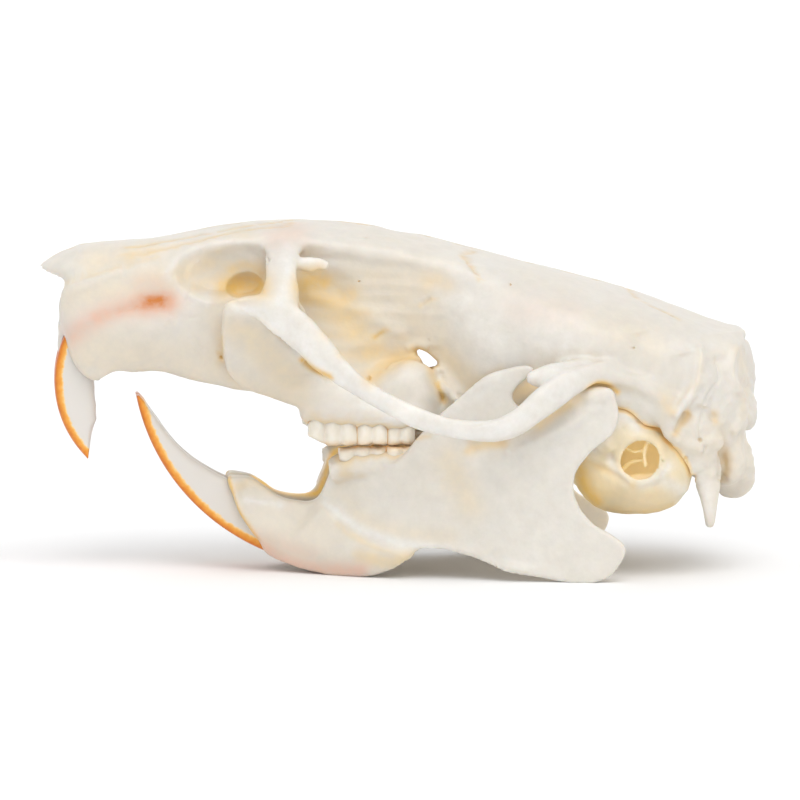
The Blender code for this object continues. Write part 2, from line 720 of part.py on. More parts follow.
def bend_jaw(points, side, half):
    """Bends the flat jaw slab to its place: its middle surface swings outwards and its body swells."""
    x, z = points[:, 0], points[:, 2]
    middle = np.interp(x, *smooth_rows(JAW_OUT, 8).T)
    cx, cz = LOWER_INCISOR["centre"]
    root_line = LOWER_INCISOR["outer"] - LOWER_INCISOR["depth"] / 2
    off_line = np.hypot(x - cx, z - cz) - root_line
    start, end = JAW_BODY_FADE
    fade = np.clip((end - x) / (end - start), 0, 1)
    swell = JAW_BODY_HALF * np.exp(-((off_line / JAW_BODY_REACH) ** 2)) * fade * fade * (3 - 2 * fade)
    out = middle + points[:, 1] / half * (JAW_BLADE_HALF + swell)
    points[:, 1] = side * np.maximum(out, JAW_MIDLINE_GAP)
    return points


def ground_block():
    """A block that ends at the rest plane: cut away, it leaves small flats for the jaw to stand on."""
    bm = bmesh.new()
    place = Matrix.Translation((0, 0, REST_PLANE - 1)) @ Matrix.Diagonal((40, 30, 2, 1))
    bmesh.ops.create_cube(bm, size=1.0, matrix=place)
    return new_object("ground_block", bm)


def mandible(name, side):
    """One half of the lower jaw: a bent blade with its swollen body, the tooth shelf and the crest."""
    half = 0.6
    blade = slab("blade", JAW_OUTLINE, half, steps=3)
    add_modifier(blade, "REMESH", mode="VOXEL", voxel_size=0.2)
    settle(blade)
    move_points(blade, lambda points: bend_jaw(points, side, half))
    bars = [sweep("shelf", JAW_SHELF), sweep("crest", MASSETER_CREST), ellipsoid("condyle", *JAW_CONDYLE)]
    if side == LEFT:
        flipped = [mirrored(bar) for bar in bars]
        for bar in bars:
            bpy.data.objects.remove(bar)
        bars = flipped
    jaw = joined(name, [blade, *bars])
    fuse(jaw, BONE_VOXEL * 0.8, 2)
    thin_out(jaw, MANDIBLE_TRIANGLES)
    carve(jaw, ground_block())
    return jaw


def build():
    for obj in list(bpy.data.objects):
        bpy.data.objects.remove(obj)
    skull = cranium()
    for word, side in SIDES.items():
        jaw = mandible(f"mandible_{word}", side)
        carve(skull, bulla("seat", side, grow=BULLA_GAP))
        carve(skull, incisor("socket", UPPER_INCISOR, side, grow=SOCKET_GAP))
        carve(jaw, incisor("socket", LOWER_INCISOR, side, grow=SOCKET_GAP))
        for number in range(3):
            place = UPPER_MOLARS[number]
            carve(skull, molar("socket", place, UPPER_CROWN, UPPER_ROOT, side, grow=SOCKET_GAP))
            upper = molar(f"upper_molar_{number + 1}_{word}", place, UPPER_CROWN, UPPER_ROOT, side)
            place = LOWER_MOLARS[number]
            carve(jaw, molar("socket", place, LOWER_CROWN, LOWER_ROOT, side, grow=SOCKET_GAP))
            lower = molar(f"lower_molar_{number + 1}_{word}", place, LOWER_CROWN, LOWER_ROOT, side)
            finish_object(upper, TOOTH)
            finish_object(lower, TOOTH)
        finish_object(jaw, BONE)
        finish_object(bulla(f"auditory_bulla_{word}", side), BONE)
        finish_object(incisor(f"upper_incisor_{word}", UPPER_INCISOR, side), ENAMEL)
        finish_object(incisor(f"lower_incisor_{word}", LOWER_INCISOR, side), ENAMEL)
    finish_object(skull, BONE)


build()
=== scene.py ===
import json
import math

import bpy
import numpy as np
from mathutils import Matrix, Vector, kdtree, noise

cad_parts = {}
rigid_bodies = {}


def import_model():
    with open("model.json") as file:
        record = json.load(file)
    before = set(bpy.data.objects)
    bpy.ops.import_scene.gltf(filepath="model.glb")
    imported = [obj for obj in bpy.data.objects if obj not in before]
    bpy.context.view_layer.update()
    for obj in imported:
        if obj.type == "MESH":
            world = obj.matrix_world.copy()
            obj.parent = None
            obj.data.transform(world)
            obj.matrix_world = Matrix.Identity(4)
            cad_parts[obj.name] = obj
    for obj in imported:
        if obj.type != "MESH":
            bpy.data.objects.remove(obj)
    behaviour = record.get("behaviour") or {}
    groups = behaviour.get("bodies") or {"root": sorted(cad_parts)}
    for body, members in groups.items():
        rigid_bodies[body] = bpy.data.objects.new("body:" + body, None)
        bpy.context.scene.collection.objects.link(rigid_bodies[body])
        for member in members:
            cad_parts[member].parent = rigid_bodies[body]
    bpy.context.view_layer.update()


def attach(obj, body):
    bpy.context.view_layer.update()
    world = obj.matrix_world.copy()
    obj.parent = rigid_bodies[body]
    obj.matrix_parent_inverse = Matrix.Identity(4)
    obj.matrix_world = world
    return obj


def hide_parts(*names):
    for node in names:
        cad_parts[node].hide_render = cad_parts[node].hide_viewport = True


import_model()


# The studio: a white sheet that lies flat under the skull and sweeps up behind it, a wide soft light
# overhead and towards the camera, a weaker one from the nose's side, and the camera of the photograph.
def pick(*pieces):
    """Selects these objects alone. The last one is active."""
    bpy.ops.object.select_all(action="DESELECT")
    for piece in pieces:
        piece.select_set(True)
    bpy.context.view_layer.objects.active = pieces[-1]


def srgb(code):
    """A hex colour as the linear colour that a shader takes."""
    parts = [int(code[i : i + 2], 16) / 255 for i in (1, 3, 5)]
    return (*[c / 12.92 if c <= 0.04045 else ((c + 0.055) / 1.055) ** 2.4 for c in parts], 1.0)


def wire(node, *first, **named):
    """Sets a node's inputs, some in their order and the rest by name, to values, outputs or nodes."""
    inputs = [socket for socket in node.inputs if socket.enabled][: len(first)]
    inputs += [node.inputs[key.replace("_", " ")] for key in named]
    for socket, value in zip(inputs, [*first, *named.values()]):
        if isinstance(value, bpy.types.Node):
            value = next(output for output in value.outputs if output.enabled)
        if isinstance(value, bpy.types.NodeSocket):
            node.id_data.links.new(value, socket)
        else:
            socket.default_value = value


def new_material(name):
    """A material with its nodes and its shader."""
    material = bpy.data.materials.new(name)
    material.use_nodes = True
    nodes = material.node_tree.nodes
    return material, nodes, nodes["Principled BSDF"]


PAPER_WIDE, PAPER_BACK, PAPER_WALL = 3.0, 0.9, 1.2
SWEEP_STEPS, SWEEP_STEP = 8, 0.07
LOOK_AT = Vector((0.0, 0.0, 0.01013))
CAMERA_TURN = math.radians(-3.5)
CAMERA_RISE = math.radians(5.5)
CAMERA_DISTANCE = 0.4

bpy.ops.object.select_all(action="DESELECT")
bpy.ops.mesh.primitive_plane_add(size=1.0)
paper = bpy.context.active_object
paper.name = "studio_paper"
bpy.ops.object.mode_set(mode="EDIT")
bpy.ops.transform.resize(value=(PAPER_WIDE, 2 * PAPER_BACK, 1))
bpy.ops.mesh.select_all(action="DESELECT")
bpy.ops.object.mode_set(mode="OBJECT")
for edge in paper.data.edges:
    edge.select = all(paper.data.vertices[i].co.y > 0 for i in edge.vertices)
bpy.ops.object.mode_set(mode="EDIT")
bpy.ops.mesh.select_mode(type="EDGE")
for step in range(SWEEP_STEPS):
    rise = math.radians(90 * (step + 0.5) / SWEEP_STEPS)
    move = (0, SWEEP_STEP * math.cos(rise), SWEEP_STEP * math.sin(rise))
    bpy.ops.mesh.extrude_region_move(TRANSFORM_OT_translate={"value": move})
bpy.ops.mesh.extrude_region_move(TRANSFORM_OT_translate={"value": (0, 0, PAPER_WALL)})
bpy.ops.object.mode_set(mode="OBJECT")
bpy.ops.object.shade_smooth()

# Matt white paper: it gives the eye nothing but the soft shadow that the skull drops on it.
paper_white, _, shader = new_material("matt_white_paper")
wire(shader, Base_Color=srgb("#F8F8F8"), Roughness=0.9, Specular_IOR_Level=0.1)
paper.data.materials.append(paper_white)

world = bpy.data.worlds.new("white_room")
world.use_nodes = True
wire(world.node_tree.nodes["Background"], Color=srgb("#FCFDFF"), Strength=0.76)
bpy.context.scene.world = world

SOFT_LIGHTS = {
    "overhead": ((0.14, -0.55, 0.82), 45, 1.25, "#FFFEFD"),
    "camera_side": ((-0.35, -0.9, 0.15), 70, 0.5, "#FFFFFF"),
}
for name, (place, spread, strength, colour) in SOFT_LIGHTS.items():
    bpy.ops.object.light_add(type="SUN", location=place)
    lamp = bpy.context.active_object
    lamp.name = f"soft_light_{name}"
    lamp.data.angle = math.radians(spread)
    lamp.data.energy = strength
    lamp.data.color = srgb(colour)[:3]
    lamp.rotation_euler = (-Vector(place)).to_track_quat("-Z", "Y").to_euler()

level = math.cos(CAMERA_RISE)
to_camera = Vector((math.sin(CAMERA_TURN) * level, -math.cos(CAMERA_TURN) * level, math.sin(CAMERA_RISE)))
bpy.ops.object.camera_add(location=LOOK_AT + CAMERA_DISTANCE * to_camera)
camera = bpy.context.active_object
camera.rotation_euler = (-to_camera).to_track_quat("-Z", "Y").to_euler()
camera.data.sensor_width = 36.0
camera.data.lens = 298.8
camera.data.clip_start = 0.01
bpy.context.scene.camera = camera
bpy.context.scene.view_settings.view_transform = "Standard"
bpy.context.scene.view_settings.look = "None"


# The cranium: thin ivory bone, grown as one piece. It is built in millimetres from a lofted core, swept
# bars and swellings, which a voxel remesh grows together; free rings like these are joined in code, as no
# primitive gives them. Its relief is then pressed and raised in the fine skin.
MM = 0.001
REST_PLANE = 0.27
SIDES = {"left": -1, "right": 1}

# Rows of the core run from the nose back: x, then the half outline as top, five pairs of out and height, and
# bottom. Rows of the nasals give x, half width, top and bottom.
CORE_SECTIONS = [
    (-20.2, 17.7, 1.2, 17.6, 1.9, 17.2, 2.2, 16.4, 2.1, 15.3, 1.5, 14.5, 14.4),
    (-19.6, 19.65, 1.7, 19.4, 2.4, 18.2, 2.6, 16.6, 2.6, 14.8, 2.2, 13, 12.8),
    (-18.4, 19.95, 1.9, 19.65, 2.6, 18.3, 2.85, 16.6, 3, 14.8, 2.1, 11.95, 12.15),
    (-16.5, 20.15, 2.1, 19.8, 2.75, 18.5, 3.15, 16.8, 3.5, 14.9, 2.3, 12.45, 12.65),
    (-14.5, 20.35, 2.15, 20, 2.8, 18.8, 3.15, 17.2, 3.6, 15.2, 2.3, 12.5, 12.8),
    (-12.5, 20.7, 2.3, 20.3, 3, 19, 3.15, 17.2, 3.45, 15, 2.4, 11.9, 12.3),
    (-10.5, 21, 2.8, 20.5, 3.2, 19.2, 3.1, 17.2, 3.2, 15, 2.6, 11.5, 12),
    (-8, 21.3, 3.2, 20.65, 3.1, 19.3, 2.9, 17.2, 3.1, 14.8, 3.4, 11.2, 11.4),
    (-5.5, 21.3, 3.25, 20.4, 3, 19.2, 2.8, 17, 3.3, 14, 4.4, 10.3, 10.6),
    (-3, 21.1, 3.25, 20.1, 3.15, 18.8, 2.85, 16.5, 3.1, 13.6, 4.5, 9.9, 10.2),
    (0, 20.6, 3.55, 19.65, 3.5, 18.3, 3.2, 16.2, 2.65, 13.2, 4.3, 9.9, 10.2),
    (2, 20.2, 3.95, 19.2, 4.1, 17.8, 3.95, 15.8, 3, 12.8, 3.1, 10, 10.2),
    (4, 19.7, 4.45, 18.65, 5.1, 17.2, 5.2, 15.2, 4.75, 12.4, 3, 9.7, 9.5),
    (6.5, 19, 4.9, 17.9, 6.2, 16.4, 6.5, 14.4, 6.2, 12, 3.8, 9.2, 8.8),
    (9, 18.4, 5.2, 17.3, 7, 15.8, 7.3, 13.8, 6.8, 11.2, 3.9, 8.6, 8.2),
    (12, 17.6, 5.4, 16.5, 7.4, 15.1, 7.6, 13.2, 6.6, 10.6, 3.5, 7.9, 7.5),
    (15, 16.65, 5.4, 15.7, 7.2, 14.4, 7.7, 12.4, 7, 10, 3.2, 7.2, 6.7),
    (17.5, 15.65, 5.3, 14.9, 6.9, 13.7, 7.3, 11.8, 6.8, 9.2, 3.4, 6.4, 6),
    (19.4, 15, 4.9, 14.4, 6.1, 13, 6.3, 11.2, 5.6, 8.8, 3.2, 5.3, 4.75),
    (20.5, 14.7, 3.3, 14.1, 4.2, 12.6, 4.4, 10.8, 4, 8.8, 2.7, 5.2, 4.75),
]
NASAL_SECTIONS = [
    (-21.72, 0.45, 18.6, 18.32), (-21.3, 1.1, 18.86, 18.12), (-20.6, 1.8, 19.3, 17.8),
    (-20, 2.05, 19.58, 17.65), (-19, 2.15, 19.9, 17.9), (-17.5, 2.2, 20, 18.2),
]
PLATE_OUTLINE = [
    (-10.75, 13.2), (-10.95, 15), (-10.85, 16.7), (-10.2, 17.1), (-8.6, 17.3), (-6.6, 17.1), (-5.6, 15.4),
    (-5, 13.6), (-4.6, 12.2), (-4.8, 10.9), (-6.2, 10.3), (-8, 10.9), (-9.5, 11.5), (-10.4, 12.3),
]
PLATE_FOOT, PLATE_FOOT_HEIGHT, PLATE_LEAN, PLATE_HALF = 3.5, 11.5, 0.58, 0.38

# Bars of bone as x, out from the middle, height, half height and half thickness.
CHEEK_ARCH = [
    (-9.9, 6.5, 16.9, 0.35, 0.3), (-8.8, 6.85, 16.75, 0.62, 0.33), (-7.6, 7.25, 16.2, 1, 0.36),
    (-6.6, 7.7, 15.4, 1.05, 0.38), (-5.6, 8.2, 14.4, 0.98, 0.38), (-4.4, 8.75, 13.2, 0.8, 0.36),
    (-3.2, 9.1, 12.25, 0.66, 0.36), (-2, 9.4, 11.5, 0.61, 0.36), (-0.9, 9.65, 10.92, 0.6, 0.36),
    (0.4, 9.9, 10.3, 0.6, 0.37), (1.9, 10.15, 9.78, 0.62, 0.38), (3.4, 10.35, 9.58, 0.66, 0.4),
    (4.9, 10.45, 9.6, 0.66, 0.42), (6.2, 10.35, 10.02, 0.72, 0.43), (7.3, 10.1, 10.76, 0.79, 0.46),
    (8.4, 9.6, 11.56, 0.86, 0.52), (9.6, 8.9, 12.3, 0.8, 0.7), (10.8, 8, 12.7, 0.62, 0.9),
    (12, 7.2, 12.9, 0.5, 0.9),
]
LACRIMAL_PLATE = [
    (-6.9, 19.1), (-6.2, 19.35), (-5.2, 19.3), (-4.6, 19.15), (-4.5, 18.85), (-4.6, 18.5), (-4.9, 18.45),
    (-5.1, 18.7), (-5.45, 18.5), (-5.75, 18.45), (-6.1, 18.6), (-6.9, 18.7),
]
CRANIUM_BARS = {
    "squamosal_shelf": [
        (6.95, 8.95, 12.55, 0.28, 0.25), (7.55, 8.8, 12.52, 0.6, 0.4), (8.4, 8.6, 12.65, 0.75, 0.55),
        (9.5, 8, 12.85, 0.65, 0.75), (10.8, 7.5, 13, 0.5, 0.9),
    ],
    "alveolar_edge": [
        (-5.8, 3.7, 10.6, 0.4, 0.8), (-5.45, 3.7, 10.05, 0.78, 1.05), (-4.5, 3.75, 10.1, 1, 1.2),
        (-1.5, 3.75, 9.95, 1, 1.2), (0.6, 3.6, 9.9, 1, 1.05), (1.9, 3.2, 10.1, 0.7, 0.6),
    ],
    "socket_ridge": [
        (2.15, 3.2, 12.7, 0.18, 0.3), (2.36, 3.6, 11.8, 0.22, 0.38), (2.8, 3.9, 11.15, 0.22, 0.4),
        (3.3, 4.1, 10.6, 0.2, 0.4),
    ],
    "socket_wall": [
        (2.6, 2.9, 12.9, 0.3, 0.4), (2.85, 3.4, 12, 0.36, 0.42), (3.2, 3.75, 11.2, 0.36, 0.42),
        (3.65, 4, 10.4, 0.3, 0.42),
    ],
    "tympanic_ridge": [
        (9.6, 8, 12.75, 0.65, 0.5), (11.2, 8.1, 12.65, 0.55, 0.55), (12.6, 7.9, 12.35, 0.55, 0.5),
        (13.9, 7.7, 11.9, 0.45, 0.4), (15, 7.7, 11.1, 0.5, 0.4), (15.6, 7.6, 10.1, 0.5, 0.4),
        (15.85, 7.4, 9.2, 0.5, 0.4), (15.9, 7.2, 8.5, 0.4, 0.33),
    ],
    "squamosal_flap": [
        (13.6, 7.2, 11.2, 0.7, 0.5), (14.7, 7.35, 10.5, 0.6, 0.42), (15.4, 7.4, 9.6, 0.5, 0.4),
        (15.6, 7.4, 8.8, 0.4, 0.35),
    ],
    "paroccipital": [
        (17.6, 5.7, 8.4, 1, 0.85), (17.95, 5.75, 6.9, 0.86, 0.7), (18.05, 5.7, 5.8, 0.7, 0.58),
        (18.15, 5.65, 4.5, 0.5, 0.46), (18.2, 5.6, 3.15, 0.3, 0.3),
    ],
    "condyle": [
        (19.2, 1.7, 5.1, 0.5, 0.6), (20.1, 2, 5.2, 0.75, 0.75), (20.5, 2.7, 6, 0.8, 0.7),
        (20.4, 3, 7.2, 0.65, 0.6), (20.1, 3, 8.2, 0.5, 0.5), (19.95, 2.9, 9, 0.5, 0.5),
    ],
    "inner_pterygoid": [
        (2.2, 1.7, 9.9, 0.6, 0.35), (4.5, 1.5, 9.1, 0.75, 0.33), (7, 1.6, 8.3, 0.7, 0.33),
        (9, 2, 7.3, 0.35, 0.28),
    ],
    "outer_pterygoid": [(2.6, 2.9, 10.2, 0.5, 0.35), (5, 3.1, 9.6, 0.7, 0.33), (8, 3.6, 8.9, 0.6, 0.35)],
}
DORSAL_ROOT = [
    (-7.1, 2.7, 20.2, 1.3, 0.5), (-7.3, 4.4, 19.35, 1, 0.4), (-7.4, 5.8, 18.4, 0.95, 0.4),
    (-7.5, 6.6, 17.5, 1.15, 0.4), (-7.7, 7.1, 16.6, 1.3, 0.4),
]
NOSE_RIM = [
    (-19.25, 1.95, 17.9, 0.35, 0.33), (-19.75, 2, 17.2, 0.35, 0.33), (-20.12, 1.95, 16.3, 0.38, 0.38),
    (-20.1, 1.6, 15.4, 0.4, 0.4), (-20.1, 0.8, 14.9, 0.4, 0.5), (-20.1, 0, 14.8, 0.4, 0.5),
]
NUCHAL_CREST = [
    (20.55, 0, 14.4, 0.33, 0.3), (20.35, 1.9, 14.38, 0.35, 0.3), (19.5, 3.7, 14.4, 0.4, 0.3),
    (18.3, 5.3, 14.35, 0.38, 0.3), (17.3, 6.35, 14, 0.35, 0.3), (17.4, 6.9, 12.9, 0.32, 0.3),
    (17, 7.25, 11.7, 0.32, 0.3), (16.2, 7.55, 10.6, 0.32, 0.3), (15.8, 7.7, 9.6, 0.32, 0.3),
]
SWELLINGS = [
    ((-20.1, 0, 13.9), (0.5, 0.75, 1.3)), ((0.3, 3.3, 11.3), (2.3, 1.2, 1.9)),
    ((17.1, 6.25, 8.9), (1.8, 1.2, 2.5)), ((14.2, 6.2, 10.3), (2.4, 1.3, 1.2)),
    ((12.9, 6.85, 11.4), (2.2, 0.95, 0.95)), ((2.3, 2.75, 10.2), (1.6, 1, 1.2)),
    ((20.35, 0, 11.2), (1, 2.6, 3)), ((20.6, 0, 9.4), (1.02, 2.3, 1.2)), ((19.4, 3.6, 7.2), (1.2, 1.5, 1.8)),
]
MIDDLE_HOLLOWS = [
    [
        (-22.5, 0, 17, 1.5, 1.5), (-20.4, 0, 17, 1.75, 1.65), (-18, 0, 17, 1.9, 1.85), (-14, 0, 17.2, 1.9, 2),
        (-11.5, 0, 17.4, 1.4, 1.6),
    ],
    [
        (22.5, 0, 7.05, 2, 2), (21.4, 0, 7.05, 1.95, 2.05), (20.2, 0, 7.15, 1.75, 2.3),
        (18.8, 0, 8.3, 2.3, 3.2), (15.5, 0, 11.6, 3.6, 5.4), (11, 0, 13.3, 3.6, 6), (7, 0, 14.8, 2.8, 4.8),
        (5, 0, 15.6, 1.4, 2.4),
    ],
    [(1.7, 0, 9.4, 0.6, 0.8), (3.5, 0, 8.9, 1.1, 1.05), (7, 0, 7.7, 1.1, 1.15), (10, 0, 6.7, 0.6, 1.2)],
]
SIDE_HOLLOWS = [
    [
        (-15.2, 0.85, 11.6, 0.9, 0.2), (-13.8, 0.9, 11.6, 1.3, 0.36), (-11.4, 0.95, 11.3, 1.3, 0.4),
        (-9.2, 0.85, 11, 0.9, 0.25),
    ],
]
OPTIC_HOLES = {"left": ((1.44, 13.23), (0.88, 0.27), -39), "right": ((1.75, 12.7), (1.15, 0.66), -36)}
SCOOPS = [((-10.9, 4, 18.5), (2.7, 1.25, 1.55)), ((-9.4, 3.3, 17.55), (1.1, 1, 0.75))]
SKULL_MIDDLE = ((1.6, 0, 13), (1.3, 2.3, 0.95))
CRANIUM_TRIANGLES = 150000
PIXELS_PER_MM = 16.6
PICTURE_MIDDLE = 400
LOOK_HEIGHT, CAMERA_AWAY = 10.4, 400


def smooth_rows(rows, steps):
    """A smooth curve through rows of numbers, with this many steps from each row to the next."""
    rows = np.array(rows, float)
    ends = np.vstack([2 * rows[0] - rows[1], rows, 2 * rows[-1] - rows[-2]])
    t = np.linspace(0, 1, steps, endpoint=False)[:, None]
    spans = [
        0.5 * (2 * b + (c - a) * t + (2 * a - 5 * b + 4 * c - d) * t**2 + (3 * b - a - 3 * c + d) * t**3)
        for a, b, c, d in zip(ends, ends[1:], ends[2:], ends[3:])
    ]
    return np.vstack([*spans, rows[-1:]])


def smooth_loop(points, steps):
    """The same curve round a closed loop of points."""
    wrapped = [*points[-2:], *points, *points[:3]]
    return smooth_rows(wrapped, steps)[2 * steps : (2 + len(points)) * steps]


def turned_out(piece):
    """Turns every face of the piece outwards."""
    pick(piece)
    bpy.ops.object.mode_set(mode="EDIT")
    bpy.ops.mesh.select_all(action="SELECT")
    bpy.ops.mesh.normals_make_consistent(inside=False)
    bpy.ops.object.mode_set(mode="OBJECT")
    return piece


def skin_over(name, rings):
    """A closed skin over rings of points that run the same way round."""
    size = len(rings[0])
    last = (len(rings) - 1) * size
    faces = [tuple(range(size)), tuple(range(last, last + size))]
    for start in range(0, last, size):
        for i in range(size):
            j = (i + 1) % size
            faces.append((start + i, start + j, start + size + j, start + size + i))
    mesh = bpy.data.meshes.new(name)
    mesh.from_pydata(np.vstack(rings).tolist(), [], faces)
    piece = bpy.data.objects.new(name, mesh)
    bpy.context.scene.collection.objects.link(piece)
    return turned_out(piece)


def bone_bar(name, rows, wide=(0, 1, 0), steps=8, square=1.0):
    """A bar along its rows, whose thickness lies along wide. It is oval where square is 1 and flatter on its
    sides below that."""
    rows = smooth_rows(rows, steps)
    centres, tall, thick = rows[:, :3], rows[:, 3], rows[:, 4]
    along = np.gradient(centres, axis=0)
    along /= np.linalg.norm(along, axis=1)[:, None]
    across = np.array(wide) - along * (along @ np.array(wide))[:, None]
    across /= np.linalg.norm(across, axis=1)[:, None]
    up = np.cross(across, along)
    turn = np.linspace(0, 2 * math.pi, 32, endpoint=False)
    rise, reach = (np.sign(wave) * abs(wave) ** square for wave in (np.cos(turn), np.sin(turn)))
    rings = [
        c + np.outer(rise * h, u) + np.outer(reach * w, a)
        for c, h, w, u, a in zip(centres, tall, thick, up, across)
    ]
    return skin_over(name, rings)


def bone_bead(centre, radii, turn=0):
    """A rounded swelling: a ball stretched to its radii and turned about the upright."""
    bpy.ops.object.select_all(action="DESELECT")
    bpy.ops.mesh.primitive_ico_sphere_add(subdivisions=4, radius=1.0)
    bead = bpy.context.active_object
    place = Matrix.Translation(centre) @ Matrix.Rotation(math.radians(turn), 4, "Z")
    bead.data.transform(place @ Matrix.Diagonal((*radii, 1.0)))
    return bead


def bone_plate(outline, half, steps=5):
    """A flat plate with this outline of x and height, half to each side of the middle plane."""
    ring = smooth_loop(outline, steps)
    return skin_over("plate", [np.insert(ring, 1, y, axis=1) for y in (-half, half)])


def other_side(piece):
    """A copy of the piece, mirrored across the middle plane."""
    pick(piece)
    bpy.ops.object.duplicate()
    copy = bpy.context.active_object
    copy.data.transform(Matrix.Diagonal((1, -1, 1, 1)))
    return turned_out(copy)


def gathered(name, pieces):
    """The pieces as one object."""
    pick(*pieces)
    bpy.ops.object.join()
    whole = bpy.context.active_object
    whole.name = name
    return whole


def worked(piece, kind, **settings):
    """Adds a modifier to the piece and applies it."""
    pick(piece)
    modifier = piece.modifiers.new(kind.lower(), kind)
    for key, value in settings.items():
        setattr(modifier, key, value)
    bpy.ops.object.modifier_apply(modifier=modifier.name)


def grown_together(piece, voxel, rounds=0):
    """Grows one even skin over the overlapping shapes and rounds it this many times."""
    worked(piece, "REMESH", mode="VOXEL", voxel_size=voxel)
    if rounds:
        worked(piece, "SMOOTH", factor=0.5, iterations=rounds)


def cut_away(piece, cutter):
    """Cuts the cutter's shape out of the piece."""
    worked(piece, "BOOLEAN", operation="DIFFERENCE", solver="MANIFOLD", object=cutter)
    bpy.data.objects.remove(cutter)


def vectors(rows, key):
    """The vectors that a mesh keeps for its points under this key."""
    values = np.empty(len(rows) * 3, np.float32)
    rows.foreach_get(key, values)
    return values.reshape(-1, 3).astype(float)


def points_of(piece):
    return vectors(piece.data.vertices, "co")


def set_points(piece, points):
    piece.data.vertices.foreach_set("co", points.astype(np.float32).ravel())
    piece.data.update()


def ease(low, high, values):
    """0 below low, 1 above high and a smooth rise between them."""
    t = np.clip((values - low) / (high - low), 0, 1)
    return t * t * (3 - 2 * t)


def seen(points):
    """Where points of the posed skull show in the photograph's frame, from its top left corner."""
    back = np.array(to_camera)
    right = np.array((math.cos(CAMERA_TURN), math.sin(CAMERA_TURN), 0))
    up = np.cross(back, right)
    offset = points - (0, 0, LOOK_HEIGHT)
    depth = 1 - offset @ back / CAMERA_AWAY
    across, rise = (PIXELS_PER_MM * (offset @ way) / depth for way in (right, up))
    return np.stack([PICTURE_MIDDLE + across, PICTURE_MIDDLE - rise], 1) / PIXELS_PER_MM


def off_segment(spots, start, end):
    """Each spot's offset from a segment, and how much of the segment lies before the place nearest to it."""
    along = end - start
    share = np.clip((spots - start) @ along / max(along @ along, 1e-9), 0, 1)
    return spots - start - share[:, None] * along, share


def off_route(spots, route):
    """Each spot's distance from a smooth line through the route, its side of it and its place along it."""
    route = smooth_rows(route, 6)
    best = np.full(len(spots), 1e9)
    side, place = np.zeros((2, len(spots)))
    for i, (start, end) in enumerate(zip(route, route[1:])):
        gap, share = off_segment(spots, start, end)
        distance = np.linalg.norm(gap, axis=1)
        closer = distance < best
        best[closer] = distance[closer]
        place[closer] = (i + share[closer]) / (len(route) - 1)
        along = end - start
        side[closer] = np.sign(along[0] * gap[closer, 1] - along[1] * gap[closer, 0])
    return best, side, place


def depth_inside(spots, outline):
    """How far inside a closed outline each spot lies. Outside it is negative."""
    ring = smooth_loop(outline, 4)
    best = np.full(len(spots), 1e9)
    crossed = np.zeros(len(spots), bool)
    for start, end in zip(ring, np.roll(ring, -1, axis=0)):
        best = np.minimum(best, np.linalg.norm(off_segment(spots, start, end)[0], axis=1))
        spans = (start[1] > spots[:, 1]) != (end[1] > spots[:, 1])
        along = end - start
        with np.errstate(divide="ignore", invalid="ignore"):
            at = start[0] + (spots[:, 1] - start[1]) * along[0] / along[1]
        crossed ^= spans & (spots[:, 0] < at)
    return np.where(crossed, best, -best)


def grain(points, size, seed=0):
    """Smooth noise about zero, whose lumps are about this many millimetres wide."""
    shift = Vector((seed * 7.3, seed * 3.1, seed * 5.7))
    return np.array([noise.noise(Vector(p) / size + shift) for p in points.tolist()])


def in_view(view, places):
    """Places in a view in millimetres. Those of the picture are written in the photograph's units."""
    return np.array(places, float) / (PIXELS_PER_MM if view == "picture" else 1)


